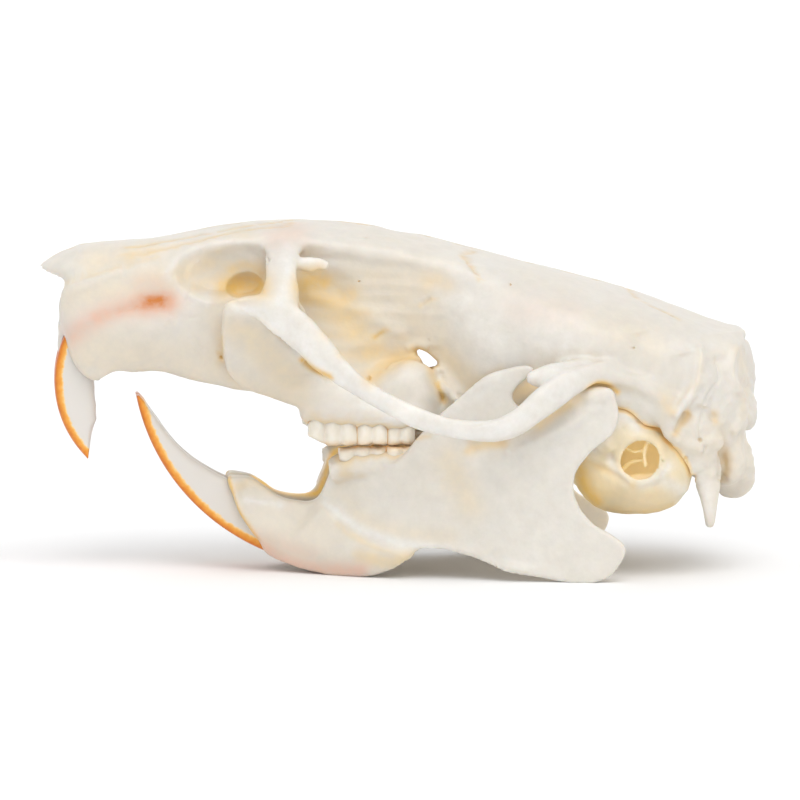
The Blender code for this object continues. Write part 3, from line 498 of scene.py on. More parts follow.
class Relief:
    """A bone's surface as points folded onto the left side, with what is raised from it or pressed in. Marks
    are placed in a view: the picture, or the skull's flank, top, underside or back in millimetres."""

    def __init__(self, piece):
        self.piece = piece
        self.points = points_of(piece)
        self.normals = vectors(piece.data.vertex_normals, "vector")
        fold = np.stack([np.ones(len(self.points)), -np.sign(self.points[:, 1] + 1e-9)], 1)[:, [0, 1, 0]]
        self.folded = self.points * fold
        self.facing = self.normals * fold
        self.out = -self.folded[:, 1]
        self.lift = np.zeros(len(self.points))

    def view(self, name):
        """The points flattened as one side sees them, in millimetres, and how far each faces it."""
        x, z = self.folded[:, 0], self.folded[:, 2]
        if name == "picture":
            return seen(self.folded), -self.facing[:, 1]
        across, up, facing = {
            "flank": (x, z, -self.facing[:, 1]),
            "top": (x, self.out, self.facing[:, 2]),
            "below": (x, self.out, -self.facing[:, 2]),
            "back": (self.out, z, self.facing[:, 0]),
        }[name]
        return np.stack([across, up], 1), facing

    def beside(self, view, route):
        """Each point's distance from a route, its side of it, its place along it and how far it faces us."""
        spots, facing = self.view(view)
        return *off_route(spots, in_view(view, route)), facing

    def mask(self, facing, out, low=0.05):
        """1 where the surface faces the view and lies between these distances from the middle plane."""
        near, far = out
        across = ease(near - 0.2, near, self.out) * ease(far + 0.2, far, self.out)
        return ease(low, low + 0.3, facing) * across

    def line(self, route, width, height, out=(-1, 30), view="picture", fade=0.12, low=0.05):
        """Raises a ridge, or presses a groove where height is below 0, along a route."""
        distance, _, place, facing = self.beside(view, route)
        ends = ease(0, fade, place) * ease(0, fade, 1 - place)
        self.lift += height * np.exp(-((distance / width) ** 2)) * ends * self.mask(facing, out, low)

    def step(self, route, width, height, reach, out, view="picture", way=1, low=0.05):
        """Raises the surface on one side of a route with a crisp edge there, fading away from it."""
        distance, side, place, facing = self.beside(view, route)
        ends = ease(0, 0.15, place) * ease(0, 0.15, 1 - place)
        rise = ease(-width, width, side * way * distance) * np.exp(-((distance / reach) ** 2))
        self.lift += height * rise * ends * self.mask(facing, out, low)

    def basin(self, outline, edge, depth, out, view="picture", low=0.05):
        """Sinks the surface inside an outline, or raises it where depth is below 0."""
        spots, facing = self.view(view)
        inside = depth_inside(spots, in_view(view, outline))
        self.lift -= depth * ease(-edge * 0.3, edge, inside) * self.mask(facing, out, low)

    def pit(self, spot, radius, depth, out, view="picture"):
        """Presses one small round pit, such as the mouth of a nerve's or vessel's hole."""
        distance, *_, facing = self.beside(view, [spot, spot])
        self.lift -= depth * np.exp(-((distance / radius) ** 4)) * self.mask(facing, out)

    def settle(self):
        """Moves the points and starts again from the new surface."""
        self.points += self.normals * self.lift[:, None]
        set_points(self.piece, self.points)
        self.__init__(self.piece)


def leaning_plate():
    """The plate under the front root of the arch, leaning outwards as it rises."""
    plate = bone_plate(PLATE_OUTLINE, PLATE_HALF)
    grown_together(plate, 0.16)
    points = points_of(plate)
    points[:, 1] += PLATE_FOOT + PLATE_LEAN * (points[:, 2] - PLATE_FOOT_HEIGHT)
    set_points(plate, points)
    return plate


def optic_tunnel(word):
    """The oval hole through the thin wall of one eye socket. Light shows through the two of them."""
    (x, z), (long, short), turn = OPTIC_HOLES[word]
    c, s = math.cos(math.radians(turn)), math.sin(math.radians(turn))
    ring = np.linspace(0, 2 * math.pi, 28, endpoint=False)
    u, w = long * np.cos(ring), short * np.sin(ring)
    across, up = x + (u * c - w * s), z + (u * s + w * c)
    ends = [np.full(28, y * SIDES[word]) for y in (5.0, 0.2)]
    return skin_over("optic_tunnel", [np.stack([across, y, up], 1) for y in ends])


core = []
for row in smooth_rows(CORE_SECTIONS, 6):
    pairs = row[2:12].reshape(5, 2)
    outline = [(0, row[1]), *pairs, (0, row[12]), *[(-y, z) for y, z in pairs[::-1]]]
    core.append(np.insert(smooth_loop(outline, 6), 0, row[0], axis=1))
nasals = []
turn = np.linspace(0, 2 * math.pi, 28, endpoint=False)
for x, half, top, bottom in smooth_rows(NASAL_SECTIONS, 5):
    tall = (top - bottom) / 2
    nasals.append(np.stack([np.full(28, x), half * np.sin(turn), bottom + tall + tall * np.cos(turn)], 1))

bars = [bone_bar(name, rows) for name, rows in CRANIUM_BARS.items()]
lacrimal = bone_plate(LACRIMAL_PLATE, 0.22)
lacrimal.data.transform(Matrix.Translation((0, 3.75, 0)) @ Matrix.Rotation(math.radians(-8), 4, "Z"))
bars += [
    bone_bar("cheek_arch", CHEEK_ARCH, square=0.6),
    lacrimal,
    bone_bar("dorsal_root", DORSAL_ROOT, wide=(0, 0.6, 0.8)),
    bone_bar("nose_rim", NOSE_RIM, wide=(1, 0, 0)),
    bone_bar("nuchal_crest", NUCHAL_CREST, wide=(1, 0, 0)),
    leaning_plate(),
]
bars += [bone_bead(centre, radii) for centre, radii in SWELLINGS]
shapes = [skin_over("core", core), skin_over("nasals", nasals), *bars, *[other_side(bar) for bar in bars]]
# The right paroccipital process is a little shorter than the left one and leans more to the front.
process = bpy.data.objects["paroccipital"]
points = points_of(process)
points[:, 0] -= 0.13 * np.clip(9.0 - points[:, 2], 0, None)
points[:, 2] += 0.12 * np.clip(8.0 - points[:, 2], 0, None)
set_points(process, points)
cranium = gathered("cranium_bone", shapes)
grown_together(cranium, 0.18, 3)

hollows = [bone_bar("side_hollow", rows) for rows in SIDE_HOLLOWS]
hollows += [bone_bead(centre, radii) for centre, radii in SCOOPS]
hollows += [other_side(hollow) for hollow in hollows]
hollows += [bone_bar("middle_hollow", rows) for rows in MIDDLE_HOLLOWS]
hollows += [bone_bead(*SKULL_MIDDLE), optic_tunnel("left"), optic_tunnel("right")]
cutter = gathered("cranium_hollows", hollows)
grown_together(cutter, 0.13)
cut_away(cranium, cutter)
grown_together(cranium, 0.135, 3)

# Relief of the cranium. Places are in the photograph's frame unless another view is named.
WALL = (1.5, 6.4)
relief = Relief(cranium)
# The incisor's root swells the side of the snout, with a crisp upper edge.
relief.step([(-20.2, 15.3), (-18, 15.95), (-16, 16.2), (-14.4, 16.1), (-13.4, 15.3)], 0.16, 0.3, 1.9, WALL,
            view="flank", way=-1)
# That swelling is soft, so what is raised so far is taken down.
relief.lift *= 0.6
relief.basin([(176, 274), (184, 259), (207, 248), (236, 244), (259, 249), (274, 262), (268, 285), (240, 297),
              (214, 302), (196, 298), (183, 288)], 0.5, 0.28, (1.5, 5), low=-0.1)
# The rims of that hollow, and the edge of the roof above it.
relief.line([(172, 276), (178, 258), (205, 245), (236, 241), (262, 245), (280, 262)], 0.22, 0.12, WALL)
relief.line([(172, 276), (180, 287), (196, 298), (214, 307)], 0.22, 0.1, WALL)
relief.line([(57, 302), (72, 291), (90, 285), (108, 276), (124, 271)], 0.25, 0.12, WALL)
# The arch's front root stands proud of the plate below it, along a crisp edge.
relief.step([(222, 305), (242, 307), (259, 315), (276, 332), (299, 356), (322, 374)], 0.14, 0.24, 1.1,
            (4.5, 11))
# The marks of the face so far are soft too.
relief.lift *= 0.8
# The line where the chewing muscle ended, from the eye's rim to the back of the head.
TEMPLE_LINE = [
    (303, 252), (345, 250), (390, 254), (430, 260), (480, 268), (530, 278), (585, 292), (640, 308),
    (695, 326), (728, 335),
]
relief.line(TEMPLE_LINE, 0.5, 0.08, (2, 9), low=-0.1)
relief.line([(470, 277), (530, 289), (585, 303), (640, 319), (690, 336)], 0.6, -0.05, (2, 9), low=0)
# The braincase is fuller in its middle and pinched behind the arch's root.
relief.basin([(455, 300), (520, 292), (600, 312), (640, 340), (600, 366), (520, 362), (462, 345)], 1.2, -0.22,
             (4.5, 8.5))
relief.line([(640, 330), (645, 352), (642, 378)], 0.8, -0.18, (4.5, 9))
# The wall of the eye socket: a hollow in front, the capsule over the cheek teeth's roots, soft folds.
relief.basin([(300, 268), (330, 265), (352, 280), (345, 305), (318, 300), (302, 286)], 1.3, 0.35, (2, 4.4),
             low=-0.2)
relief.basin([(376, 408), (378, 384), (398, 368), (424, 368), (438, 384), (444, 408)], 1, -0.2, (2, 5.5))
relief.basin([(352, 350), (378, 340), (404, 350), (398, 372), (374, 382), (352, 372)], 0.9, 0.25, (2, 4.8))
relief.line([(375, 341), (385, 330)], 0.14, -0.12, (1.8, 5), fade=0.3)
relief.line([(419, 307), (432, 297)], 0.14, -0.1, (1.8, 5), fade=0.3)
# A gap under the arch's front root opens into the cheek.
relief.line([(302, 359), (314, 370), (329, 376)], 0.22, -0.5, (3.5, 7.5), fade=0.2, low=-0.2)
relief.line([(300, 292), (322, 300), (352, 308), (384, 322), (410, 342)], 0.45, 0.16, (2, 4.8))
relief.line([(405, 350), (418, 345), (430, 348)], 0.22, 0.12, (2, 5))
# Rear: the ridge down the side of the occiput, a second one nearer the back, and the rough bone between.
relief.line([(697, 342), (700, 361), (693, 389), (680, 408), (672, 420)], 0.26, 0.28, (4, 9))
relief.line([(682, 352), (686, 372), (678, 396)], 0.6, -0.2, (4, 9))
relief.line([(738, 338), (732, 358), (732, 378), (742, 400), (739, 420), (731, 438)], 0.24, 0.3, (2, 6.5),
            low=-0.5)
relief.line([(745, 342), (741, 372), (748, 394)], 0.3, -0.14, (1.5, 6.5), low=-0.5)
relief.line([(716, 352), (720, 380), (714, 410), (716, 440)], 0.6, -0.25, (3, 8), low=-0.1)
relief.line([(706, 372), (706, 392), (700, 408)], 0.4, 0.18, (3, 8), low=-0.1)
relief.pit((715, 417), 0.3, 0.16, (3, 8))
relief.line([(689, 412), (681, 424), (676, 434)], 0.28, -0.22, (4, 9))
relief.line([(672, 440), (690, 446), (704, 452)], 0.35, 0.2, (4, 9))
relief.line([(668, 470), (684, 478), (696, 486)], 0.4, 0.25, (4, 9))
relief.line([(722, 446), (724, 466), (720, 484)], 0.4, -0.25, (3, 7), low=-0.2)
# Underside: the palate's midline ridge, the groove each side of it and the hollow between the bullae.
relief.line([(-8.5, 0), (-4, 0), (1, 0)], 0.35, 0.15, (-1, 2), view="below")
relief.line([(-9, 1.6), (-4, 1.7), (0.8, 1.5)], 0.45, -0.22, (0.5, 3), view="below")
relief.line([(10.5, 0), (15, 0), (19.2, 0)], 0.4, 0.2, (-1, 2), view="below")
relief.line([(11, 1.7), (15, 1.8), (18, 2)], 0.6, -0.2, (0.5, 3.4), view="below")
relief.line([(-19.5, 0), (-16.4, 0)], 0.3, -0.3, (-1, 2), view="below")
# Back: the middle ridge of the occiput and the hollows beside it.
relief.line([(0, 14.2), (0, 12), (0, 9.6)], 0.45, 0.22, (-1, 2), view="back")
relief.basin([(0.9, 13.4), (3.6, 13.2), (4.6, 11.4), (3.2, 9.8), (1.4, 10), (0.8, 11.6)], 0.8, 0.3, (0.5, 6),
             view="back")
relief.settle()

# Lumps and dents that no bone is without, a little different on the two sides. The back is rougher, but for
# its lowest parts and the rim of the big hole, and streaks run along the eye socket's wall.
x, _, z = relief.points.T
relief.lift += 0.09 * grain(relief.points, 3.2, 1) + 0.05 * grain(relief.points, 1.3, 2)
rough = ease(15.8, 17.5, x) * ease(13.2, 11.5, z)
rough *= ease(0.95, 1.5, np.hypot(relief.out / 2.2, (z - 7.05) / 1.9))
rough *= ease(4.0, 7.0, z)
relief.lift += rough * (0.14 * grain(relief.points, 1.0, 3) + 0.1 * grain(relief.points, 0.45, 4))
orbit = ease(-6.5, -4.5, x) * ease(3.5, 1.5, x) * ease(4.6, 4.0, relief.out)
relief.lift += orbit * 0.07 * grain(relief.points * (0.35, 1, 1.4), 0.7, 5)
relief.settle()
triangles = sum(len(face.vertices) - 2 for face in cranium.data.polygons)
worked(cranium, "TRIANGULATE")
worked(cranium, "DECIMATE", ratio=CRANIUM_TRIANGLES / triangles)

# Fine marks, which need a finer skin: the edges that lie by one are cut in two first. A suture has its view,
# route, half width, height and how far out it lies, and a pit its view, place, radius, depth and the same.
SUTURES = {
    "nose_to_snout": (
        "picture", [(66, 284), (84, 279), (101, 274), (119, 267), (138, 263), (158, 257)], 0.11, -0.05,
        (1.4, 3.4),
    ),
    "snout_to_cheek": (
        "picture", [(190, 291), (187, 303), (191, 318), (194, 330), (200, 343), (205, 368)], 0.1, -0.045,
        (1.5, 4),
    ),
    "between_noses": ("top", [(-21.4, 0), (-16, 0.04), (-11, -0.03), (-6.6, 0)], 0.08, -0.11, (-1, 1)),
    "nose_edge": (
        "top", [(-16.5, 2.1), (-13, 1.95), (-10, 1.6), (-7.6, 1.2), (-6.4, 0)], 0.09, -0.08, (-1, 3),
    ),
    "snout_top": (
        "top", [(-16.5, 2.5), (-12.5, 2.45), (-9.5, 2.3), (-7.2, 2.2), (-6.6, 1.2)], 0.09, -0.06, (1, 4),
    ),
    "between_foreheads": ("top", [(-6.4, 0), (-3, 0.05), (1, -0.05), (4.6, 0)], 0.08, -0.11, (-1, 1)),
    "crown": ("top", [(4.6, 0), (4.3, 1.4), (3.6, 2.8), (3.9, 4.2), (4.4, 5)], 0.1, -0.12, (-1, 6)),
    "between_crowns": ("top", [(4.6, 0), (8, 0.06), (11, -0.05), (13.8, 0)], 0.08, -0.11, (-1, 1)),
    "crown_rear": ("top", [(13.8, 0), (13.9, 1.8), (14.6, 3.4), (16.4, 4.5)], 0.1, -0.12, (-1, 6)),
    "arch_joint": ("picture", [(470, 428), (490, 422), (508, 411), (520, 398)], 0.08, -0.05, (8, 11)),
    "occiput_edge": (
        "picture", [(714, 356), (718, 380), (706, 398), (700, 430), (706, 452)], 0.1, -0.07, (4, 8),
    ),
    "palate_cross": ("below", [(-3.6, 0), (-3.3, 1.2), (-2, 2.2), (0.5, 2.5)], 0.08, -0.06, (-1, 3)),
    "palate_middle": ("below", [(-8.8, 0), (-4, 0.03), (1.6, 0)], 0.07, -0.07, (-1, 1)),
    "throat_cross": ("below", [(10.6, 0), (10.5, 1), (10.7, 2.2)], 0.09, -0.08, (-1, 3)),
}
PITS = [
    ("picture", (359, 281.6), 0.07, 0.14, (2, 4.5)), ("picture", (511, 284), 0.08, 0.14, (4, 9)),
    ("picture", (634, 348), 0.08, 0.14, (4, 9)), ("picture", (369, 378), 0.12, 0.2, (2.5, 5)),
    ("picture", (221, 357), 0.12, 0.2, (2, 6)), ("picture", (700, 440), 0.13, 0.14, (4, 9)),
    ("picture", (686, 458), 0.12, 0.12, (4, 9)), ("top", (-10.6, 1), 0.09, 0.12, (0, 3)),
    ("top", (-2.2, 2.4), 0.09, 0.12, (0, 4)), ("below", (-5.6, 1.5), 0.28, 0.5, (0.5, 3)),
    ("below", (-0.6, 1.6), 0.2, 0.4, (0.5, 3)), ("below", (6.6, 2.9), 0.35, 0.7, (1.5, 5)),
    ("below", (17.6, 3), 0.3, 0.6, (1.5, 5)),
]


def finer_near(piece, far):
    """Cuts every edge that lies near a fine mark in two."""
    relief = Relief(piece)
    close = np.full(len(relief.points), 1e9)
    marks = [(view, route, 0, out) for view, route, *_, out in SUTURES.values()]
    marks += [(view, [spot, spot], radius, out) for view, spot, radius, _, out in PITS]
    for view, route, radius, out in marks:
        distance, *_, facing = relief.beside(view, route)
        close = np.minimum(close, np.where(relief.mask(facing, out) > 0.2, distance - radius, far))
    near = close < far
    pick(piece)
    ends = np.empty(len(piece.data.edges) * 2, np.int32)
    piece.data.edges.foreach_get("vertices", ends)
    for part in (piece.data.polygons, piece.data.vertices):
        part.foreach_set("select", np.zeros(len(part), bool))
    piece.data.edges.foreach_set("select", near[ends.reshape(-1, 2)].all(axis=1))
    bpy.ops.object.mode_set(mode="EDIT")
    bpy.ops.mesh.select_mode(type="EDGE")
    bpy.ops.mesh.subdivide(number_cuts=1, ngon=False)
    bpy.ops.mesh.select_all(action="SELECT")
    bpy.ops.mesh.quads_convert_to_tris()
    bpy.ops.object.mode_set(mode="OBJECT")


def seams(relief, spread=1.0):
    """Each suture's view and height, how much of its crooked line each point gets, and the place along it."""
    zigzag = 0.09 * grain(relief.points, 0.55, 6)
    for view, route, width, height, out in SUTURES.values():
        distance, side, place, facing = relief.beside(view, route)
        crooked = (side * distance + zigzag) / (spread * width)
        yield view, height, np.exp(-(crooked**2)) * relief.mask(facing, out), place


finer_near(cranium, 0.22)
relief = Relief(cranium)
for _, height, seam, place in seams(relief):
    relief.lift += height * seam * ease(0, 0.06, place) * ease(0, 0.06, 1 - place)
for view, spot, radius, depth, out in PITS:
    relief.pit(spot, radius, depth, out, view)
relief.settle()


# The auditory bullae: the ear's thin bony bubbles, each its own bone in a seat under the braincase. A
# collar stands round the open ear hole, and the hammer bone's handle still crosses it inside.
BULLA_GAP = 0.12
BULLA_BODY = ((13.6, 5.2, 6.7), (3.6, 2.5, 3), 14)
BULLA_FLOOR = 3.95
BULLA_FLOOR_BEND = 0.22
EAR_COLLAR = ((13.85, 6.75, 7.75), (1.85, 1.1, 1.75), 0)
EAR_SHOULDER = ((12.5, 6.7, 9.2), (1.7, 1.05, 1.5), 0)
BULLA_HOLLOW = ((13.85, 6.6, 7.2), (1.9, 1, 1.5), 10)
EAR_HOLE = ((13.8, 7.5), 1.13, 1.2)
HAMMER = [
    (14.6, 6.6, 8.9, 0.24, 0.2), (14.25, 6.95, 8.3, 0.17, 0.16), (14.1, 7.05, 7.7, 0.13, 0.13),
    (14.2, 7, 7, 0.15, 0.13),
]
INNER_STRUTS = [
    [(12.6, 6.3, 6.5, 0.16, 0.16), (13.3, 6.5, 7.2, 0.13, 0.13), (14.1, 6.8, 7.4, 0.13, 0.13)],
    [(12.7, 6.5, 8.4, 0.15, 0.15), (13.4, 6.7, 7.9, 0.11, 0.11), (14.1, 6.9, 8, 0.12, 0.12)],
    [(12.9, 6.2, 5.9, 0.3, 0.2), (13.9, 6.4, 6.25, 0.32, 0.2), (15, 6.3, 6.3, 0.3, 0.2)],
]


def bubble(name, side, grow=0.0):
    """The bulla's outer form on one side, full size or grown for cutting its seat."""
    shapes = [
        bone_bead((x, side * out, z), [r + grow for r in radii], side * turn)
        for (x, out, z), radii, turn in (BULLA_BODY, EAR_COLLAR, EAR_SHOULDER)
    ]
    whole = gathered(name, shapes)
    grown_together(whole, 0.13, 7)
    points = points_of(whole)
    floor = BULLA_FLOOR - grow
    points[:, 2] = floor + BULLA_FLOOR_BEND * np.log1p(np.exp((points[:, 2] - floor) / BULLA_FLOOR_BEND))
    set_points(whole, points)
    return whole


def on_side(side, pieces):
    """Pieces built on the right as they are, or mirrored to the left where side is below 0."""
    if side > 0:
        return pieces
    mirrored = [other_side(piece) for piece in pieces]
    bpy.data.batch_remove(pieces)
    return mirrored


(hole_x, hole_z), hole_wide, hole_tall = EAR_HOLE
collar = [(hole_x + 1.38 * math.cos(a), hole_z + 1.42 * math.sin(a)) for a in np.linspace(-2.6, 3.3, 14)]
bullae = {}
for word, side in SIDES.items():
    ear = bubble(f"bulla_bone_{word}", side)
    rows = [(hole_x, BULLA_HOLLOW[0][1] + far, hole_z, hole_tall, hole_wide) for far in (0.0, 1.5, 3.6)]
    parts = on_side(side, [bone_bead(*BULLA_HOLLOW), bone_bar("bore", rows, wide=(1, 0, 0), steps=3)])
    hollow = gathered("ear_hollow", parts)
    grown_together(hollow, 0.11)
    cut_away(ear, hollow)
    inner = on_side(side, [bone_bar("inner_bone", rows) for rows in (HAMMER, *INNER_STRUTS)])
    ear = gathered(f"bulla_bone_{word}", [*inner, ear])
    grown_together(ear, 0.1, 3)
    relief = Relief(ear)
    relief.line(collar, 0.26, 0.12, view="flank", fade=0.05)
    relief.line([(576, 456), (590, 462), (607, 471), (632, 485)], 0.22, -0.14)
    relief.line([(574, 450), (592, 456), (612, 466)], 0.25, 0.1)
    relief.line([(612, 452), (606, 436), (612, 420)], 0.3, 0.14)
    relief.line([(622, 432), (630, 422), (642, 420)], 0.25, -0.12)
    relief.line([(664, 470), (676, 480), (684, 494)], 0.4, 0.14)
    relief.line([(650, 490), (662, 482), (664, 470)], 0.25, -0.08)
    relief.lift += 0.07 * grain(relief.points, 1.3, 8 + side) + 0.03 * grain(relief.points, 0.5, 9)
    relief.settle()
    cut_away(cranium, bubble("seat", side, BULLA_GAP))
    bullae[word] = ear


# The lower jaw: two thin blades of bone that meet at the chin and never fuse. Each swells round the
# incisor's long root and carries a shelf for the cheek teeth, and a crest marks where the muscle held.
JAW_OUTLINE = [
    (-8.3, 1.5), (-7.8, 1.12), (-6.9, 0.78), (-5.9, 0.52), (-4.4, 0.32), (-2.9, 0.32), (-1.8, 0.58),
    (-0.8, 1.08), (0, 1.65), (0.9, 2.1), (2, 2.12), (3, 1.95), (5, 1.38), (7, 0.78), (8.5, 0.42), (9.9, 0.2),
    (11, 0.22), (12, 0.65), (12.7, 1.6), (12.85, 2.4), (12.1, 3.1), (10.9, 3.8), (10, 4.9), (9.73, 6.05),
    (10, 7.05), (10.9, 8.15), (11.9, 8.95), (12.4, 9.95), (12.25, 11.1), (11.9, 11.85), (10.4, 11.85),
    (9.7, 11.5), (8.9, 11.15), (8.1, 10.85), (7.2, 10.65), (6.45, 10.75), (6.2, 11.4), (6.75, 12.15),
    (7.55, 12.75), (7.25, 13.12), (6.7, 13.12), (6.1, 12.95), (5.1, 12.65), (4.3, 12.15), (3, 11), (1.8, 9.9),
    (0.7, 8.6), (-0.6, 7.2), (-2.5, 6.8), (-4.1, 6.8), (-4.45, 6.2), (-4.95, 4.95), (-5.5, 4.55), (-6.6, 4.6),
    (-7.5, 4.9), (-8.35, 5.5), (-9, 5.92), (-9.7, 6), (-10.4, 6), (-10.42, 5.6), (-10.2, 5), (-9.87, 4),
    (-9.5, 3.35), (-9.05, 2.7), (-8.6, 2.1),
]
JAW_OUT = [
    (-11.5, 1), (-9.5, 1.12), (-8, 1.35), (-6.5, 1.8), (-5, 2.45), (-3.5, 3.2), (-2, 4), (0, 5), (3, 6.2),
    (6, 7.1), (9, 7.85), (13.2, 8.6),
]
JAW_MIDLINE_GAP = 0.06
JAW_PLATE_HALF = 0.6
JAW_BLADE_HALF = 0.4
JAW_BODY_HALF, JAW_BODY_REACH = 0.97, 1.7
JAW_BODY_FADE = (-2.5, 5)
JAW_SHELF = [
    (-4.2, 3, 6.45, 0.85, 0.98), (-3, 3.35, 6.8, 0.9, 1.15), (0, 3.65, 6.9, 0.95, 1.18),
    (2.6, 4.1, 7.1, 0.8, 1), (4, 4.9, 7, 0.5, 0.8),
]
JAW_CONDYLE = ((11.2, 8.15, 11.35), (1.1, 0.75, 0.6))
LOWER_INCISOR = {
    "centre": (-3.4, 13.3),
    "outer": 12.75,
    "depth": 2.45,
    "angles": (191, 254),
    "out": ((190.2, 0.72), (222, 0.8), (238, 1.05), (254, 1.6)),
    "half_width": 0.6,
    "inner": (
        (190.2, 12.7), (192.4, 12.36), (199.2, 11.86), (208.6, 11.42), (214.5, 11.08), (219.8, 10.72),
        (226.4, 10.3), (254, 10.3),
    ),
}


def bent_jaw(points, side):
    """Bends the flat jaw plate to its place: its middle surface swings outwards and its body swells."""
    x, z = points[:, 0], points[:, 2]
    middle = np.interp(x, *smooth_rows(JAW_OUT, 8).T)
    cx, cz = LOWER_INCISOR["centre"]
    off_root = np.hypot(x - cx, z - cz) - (LOWER_INCISOR["outer"] - LOWER_INCISOR["depth"] / 2)
    start, end = JAW_BODY_FADE
    swell = JAW_BODY_HALF * np.exp(-((off_root / JAW_BODY_REACH) ** 2)) * ease(end, start, x)
    points[:, 1] = middle + points[:, 1] / JAW_PLATE_HALF * (JAW_BLADE_HALF + swell)
    points[:, 1] = side * np.maximum(points[:, 1], JAW_MIDLINE_GAP)
    return points


jaws = {}
for word, side in SIDES.items():
    blade = bone_plate(JAW_OUTLINE, JAW_PLATE_HALF, steps=4)
    grown_together(blade, 0.12, 6)
    set_points(blade, bent_jaw(points_of(blade), side))
    bars = on_side(side, [bone_bar("shelf", JAW_SHELF), bone_bead(*JAW_CONDYLE)])
    jaw = gathered(f"jaw_bone_{word}", [blade, *bars])
    grown_together(jaw, 0.13, 5)
    relief = Relief(jaw)
    # The plate that the chewing muscle held stands proud of the body along a soft crest.
    relief.step([(318, 497), (330, 508), (345, 524), (366, 538), (404, 549), (446, 556), (500, 562),
                 (560, 570)], 0.3, 0.5, 3, (2.5, 10), low=0.25)
    relief.line([(330, 506), (345, 520), (366, 533), (404, 543), (446, 549), (500, 556)], 0.45, 0.12,
                (2.5, 10), low=0.25)
    relief.line([(506, 438), (486, 445), (464, 452), (448, 470), (436, 496)], 0.8, -0.3, (4, 10))
    relief.line([(462, 450), (480, 443), (504, 441), (530, 430), (556, 411), (576, 400)], 0.42, -0.32,
                (4, 10))
    relief.line([(500, 458), (520, 448), (548, 436), (576, 421), (600, 402)], 0.45, 0.26, (4, 10))
    relief.line([(506, 446), (513, 452), (520, 462)], 0.2, 0.12, (4, 10))
    relief.line([(596, 420), (584, 444), (574, 474), (584, 504), (610, 528)], 0.55, 0.1, (5, 10))
    relief.line([(418, 424), (440, 408), (470, 388), (500, 372)], 0.35, 0.12, (4, 10))
    relief.line([(334, 462), (330, 480), (322, 496)], 0.3, 0.12, (2, 6))
    relief.line([(246, 500), (262, 502), (281, 505)], 0.16, 0.1, (0.5, 4), fade=0.3)
    relief.line([(240, 488), (252, 484), (266, 489)], 0.3, -0.1, (0.5, 4), fade=0.3)
    relief.line([(233, 480), (241, 508), (258, 536)], 0.18, 0.09, (0.3, 4))
    relief.lift += 0.07 * grain(relief.points, 2.6, 11 + side) + 0.03 * grain(relief.points, 0.9, 12)
    relief.settle()
    worked(jaw, "SMOOTH", factor=0.5, iterations=2)
    points = points_of(jaw)
    if word == "right":
        # The far half's angle stands a little further back than the near one's.
        points[:, 0] += 0.6 * ease(6.5, 11.0, points[:, 0]) * ease(8.5, 4.5, points[:, 2])
    points[:, 2] = np.maximum(points[:, 2], REST_PLANE)
    set_points(jaw, points)
    jaws[word] = jaw


# The incisors: long curved teeth that never stop growing, loose in their sockets. Only the outer face has
# enamel, stained orange by iron, and the softer tooth behind it wears to a chisel.
UPPER_INCISOR = {
    "centre": (-14.3, 11.75),
    "outer": 6.5,
    "depth": 2.35,
    "angles": (225.6, 150),
    "out": ((225.6, 0.84), (180, 0.87), (150, 0.95)),
    "half_width": 0.7,
    "inner": ((150, 4.15), (185, 4.1), (200, 4.25), (209.9, 4.58), (212.7, 4.9), (222.1, 5.9), (225.6, 6.4)),
}
SOCKET_GAP = 0.035


def incisor(name, spec, side, grow=0.0, steps=72, around=48):
    """An incisor bent along its circle, with a rounded box for its section. Its inner edge, worn near the
    tip, is a table of angle and radius."""
    cx, cz = spec["centre"]
    first, last = spec["angles"]
    angles, outs = zip(*sorted(spec["out"]))
    turn = np.linspace(0, 2 * math.pi, around, endpoint=False)
    c, s = np.cos(turn), np.sin(turn)
    rings, depths = [], []
    for angle in np.linspace(first, last + math.copysign(grow * 4, last - first), steps):
        low = np.interp(angle, *zip(*spec["inner"])) - grow
        high = spec["outer"] + grow
        half = (spec["half_width"] + grow) * np.where(c < 0, 1 - 0.16 * c * c * min(1, high - low), 1)
        reach = (low + high) / 2 + (high - low) / 2 * np.sign(c) * abs(c) ** 0.7
        y = np.interp(angle, angles, outs) + half * np.sign(s) * abs(s) ** 0.62
        ray = math.radians(angle)
        rings.append(np.stack([cx + math.cos(ray) * reach, side * y, cz + math.sin(ray) * reach], 1))
        depths.append(spec["outer"] - reach)
    tooth = skin_over(name, rings)
    paint(tooth, "enamel_depth", np.concatenate(depths))
    return tooth


def paint(piece, name, values):
    """Gives the piece a value at each point, for its material to read."""
    layer = piece.data.attributes.new(name, "FLOAT", "POINT")
    layer.data.foreach_set("value", np.asarray(values, np.float32))


incisors = {}
for word, side in SIDES.items():
    for row, carrier, spec in (("upper", cranium, UPPER_INCISOR), ("lower", jaws[word], LOWER_INCISOR)):
        cut_away(carrier, incisor("socket", spec, side, SOCKET_GAP, 48, 32))
        incisors[f"{row}_incisor_{word}"] = incisor(f"{row}_incisor_tooth_{word}", spec, side)


# The cheek teeth: three in each row, each grown from rounded plates of enamel and dentine whose tops wear
# to shallow basins. The rows all but touch, and the teeth sit loose in their sockets. A place is the tooth's
# front, back, half width and how far out it stands.
UPPER_MOLARS = [(-5.7, -2.85, 0.92, 3.78), (-2.79, -1.05, 0.86, 3.8), (-0.99, 0.62, 0.72, 3.72)]
LOWER_MOLARS = [(-3.85, -1.07, 0.85, 3.4), (-1.01, 0.91, 0.86, 3.6), (0.97, 2.6, 0.74, 3.85)]
UPPER_CROWN, UPPER_ROOT = 8.08, 10.1
LOWER_CROWN, LOWER_ROOT = 8.05, 6.4
TOUCH = 0.027
LOBE_REACH = 0.72
FRONT_SLOPE, HIDDEN_SLOPE = 0.5, 0.12


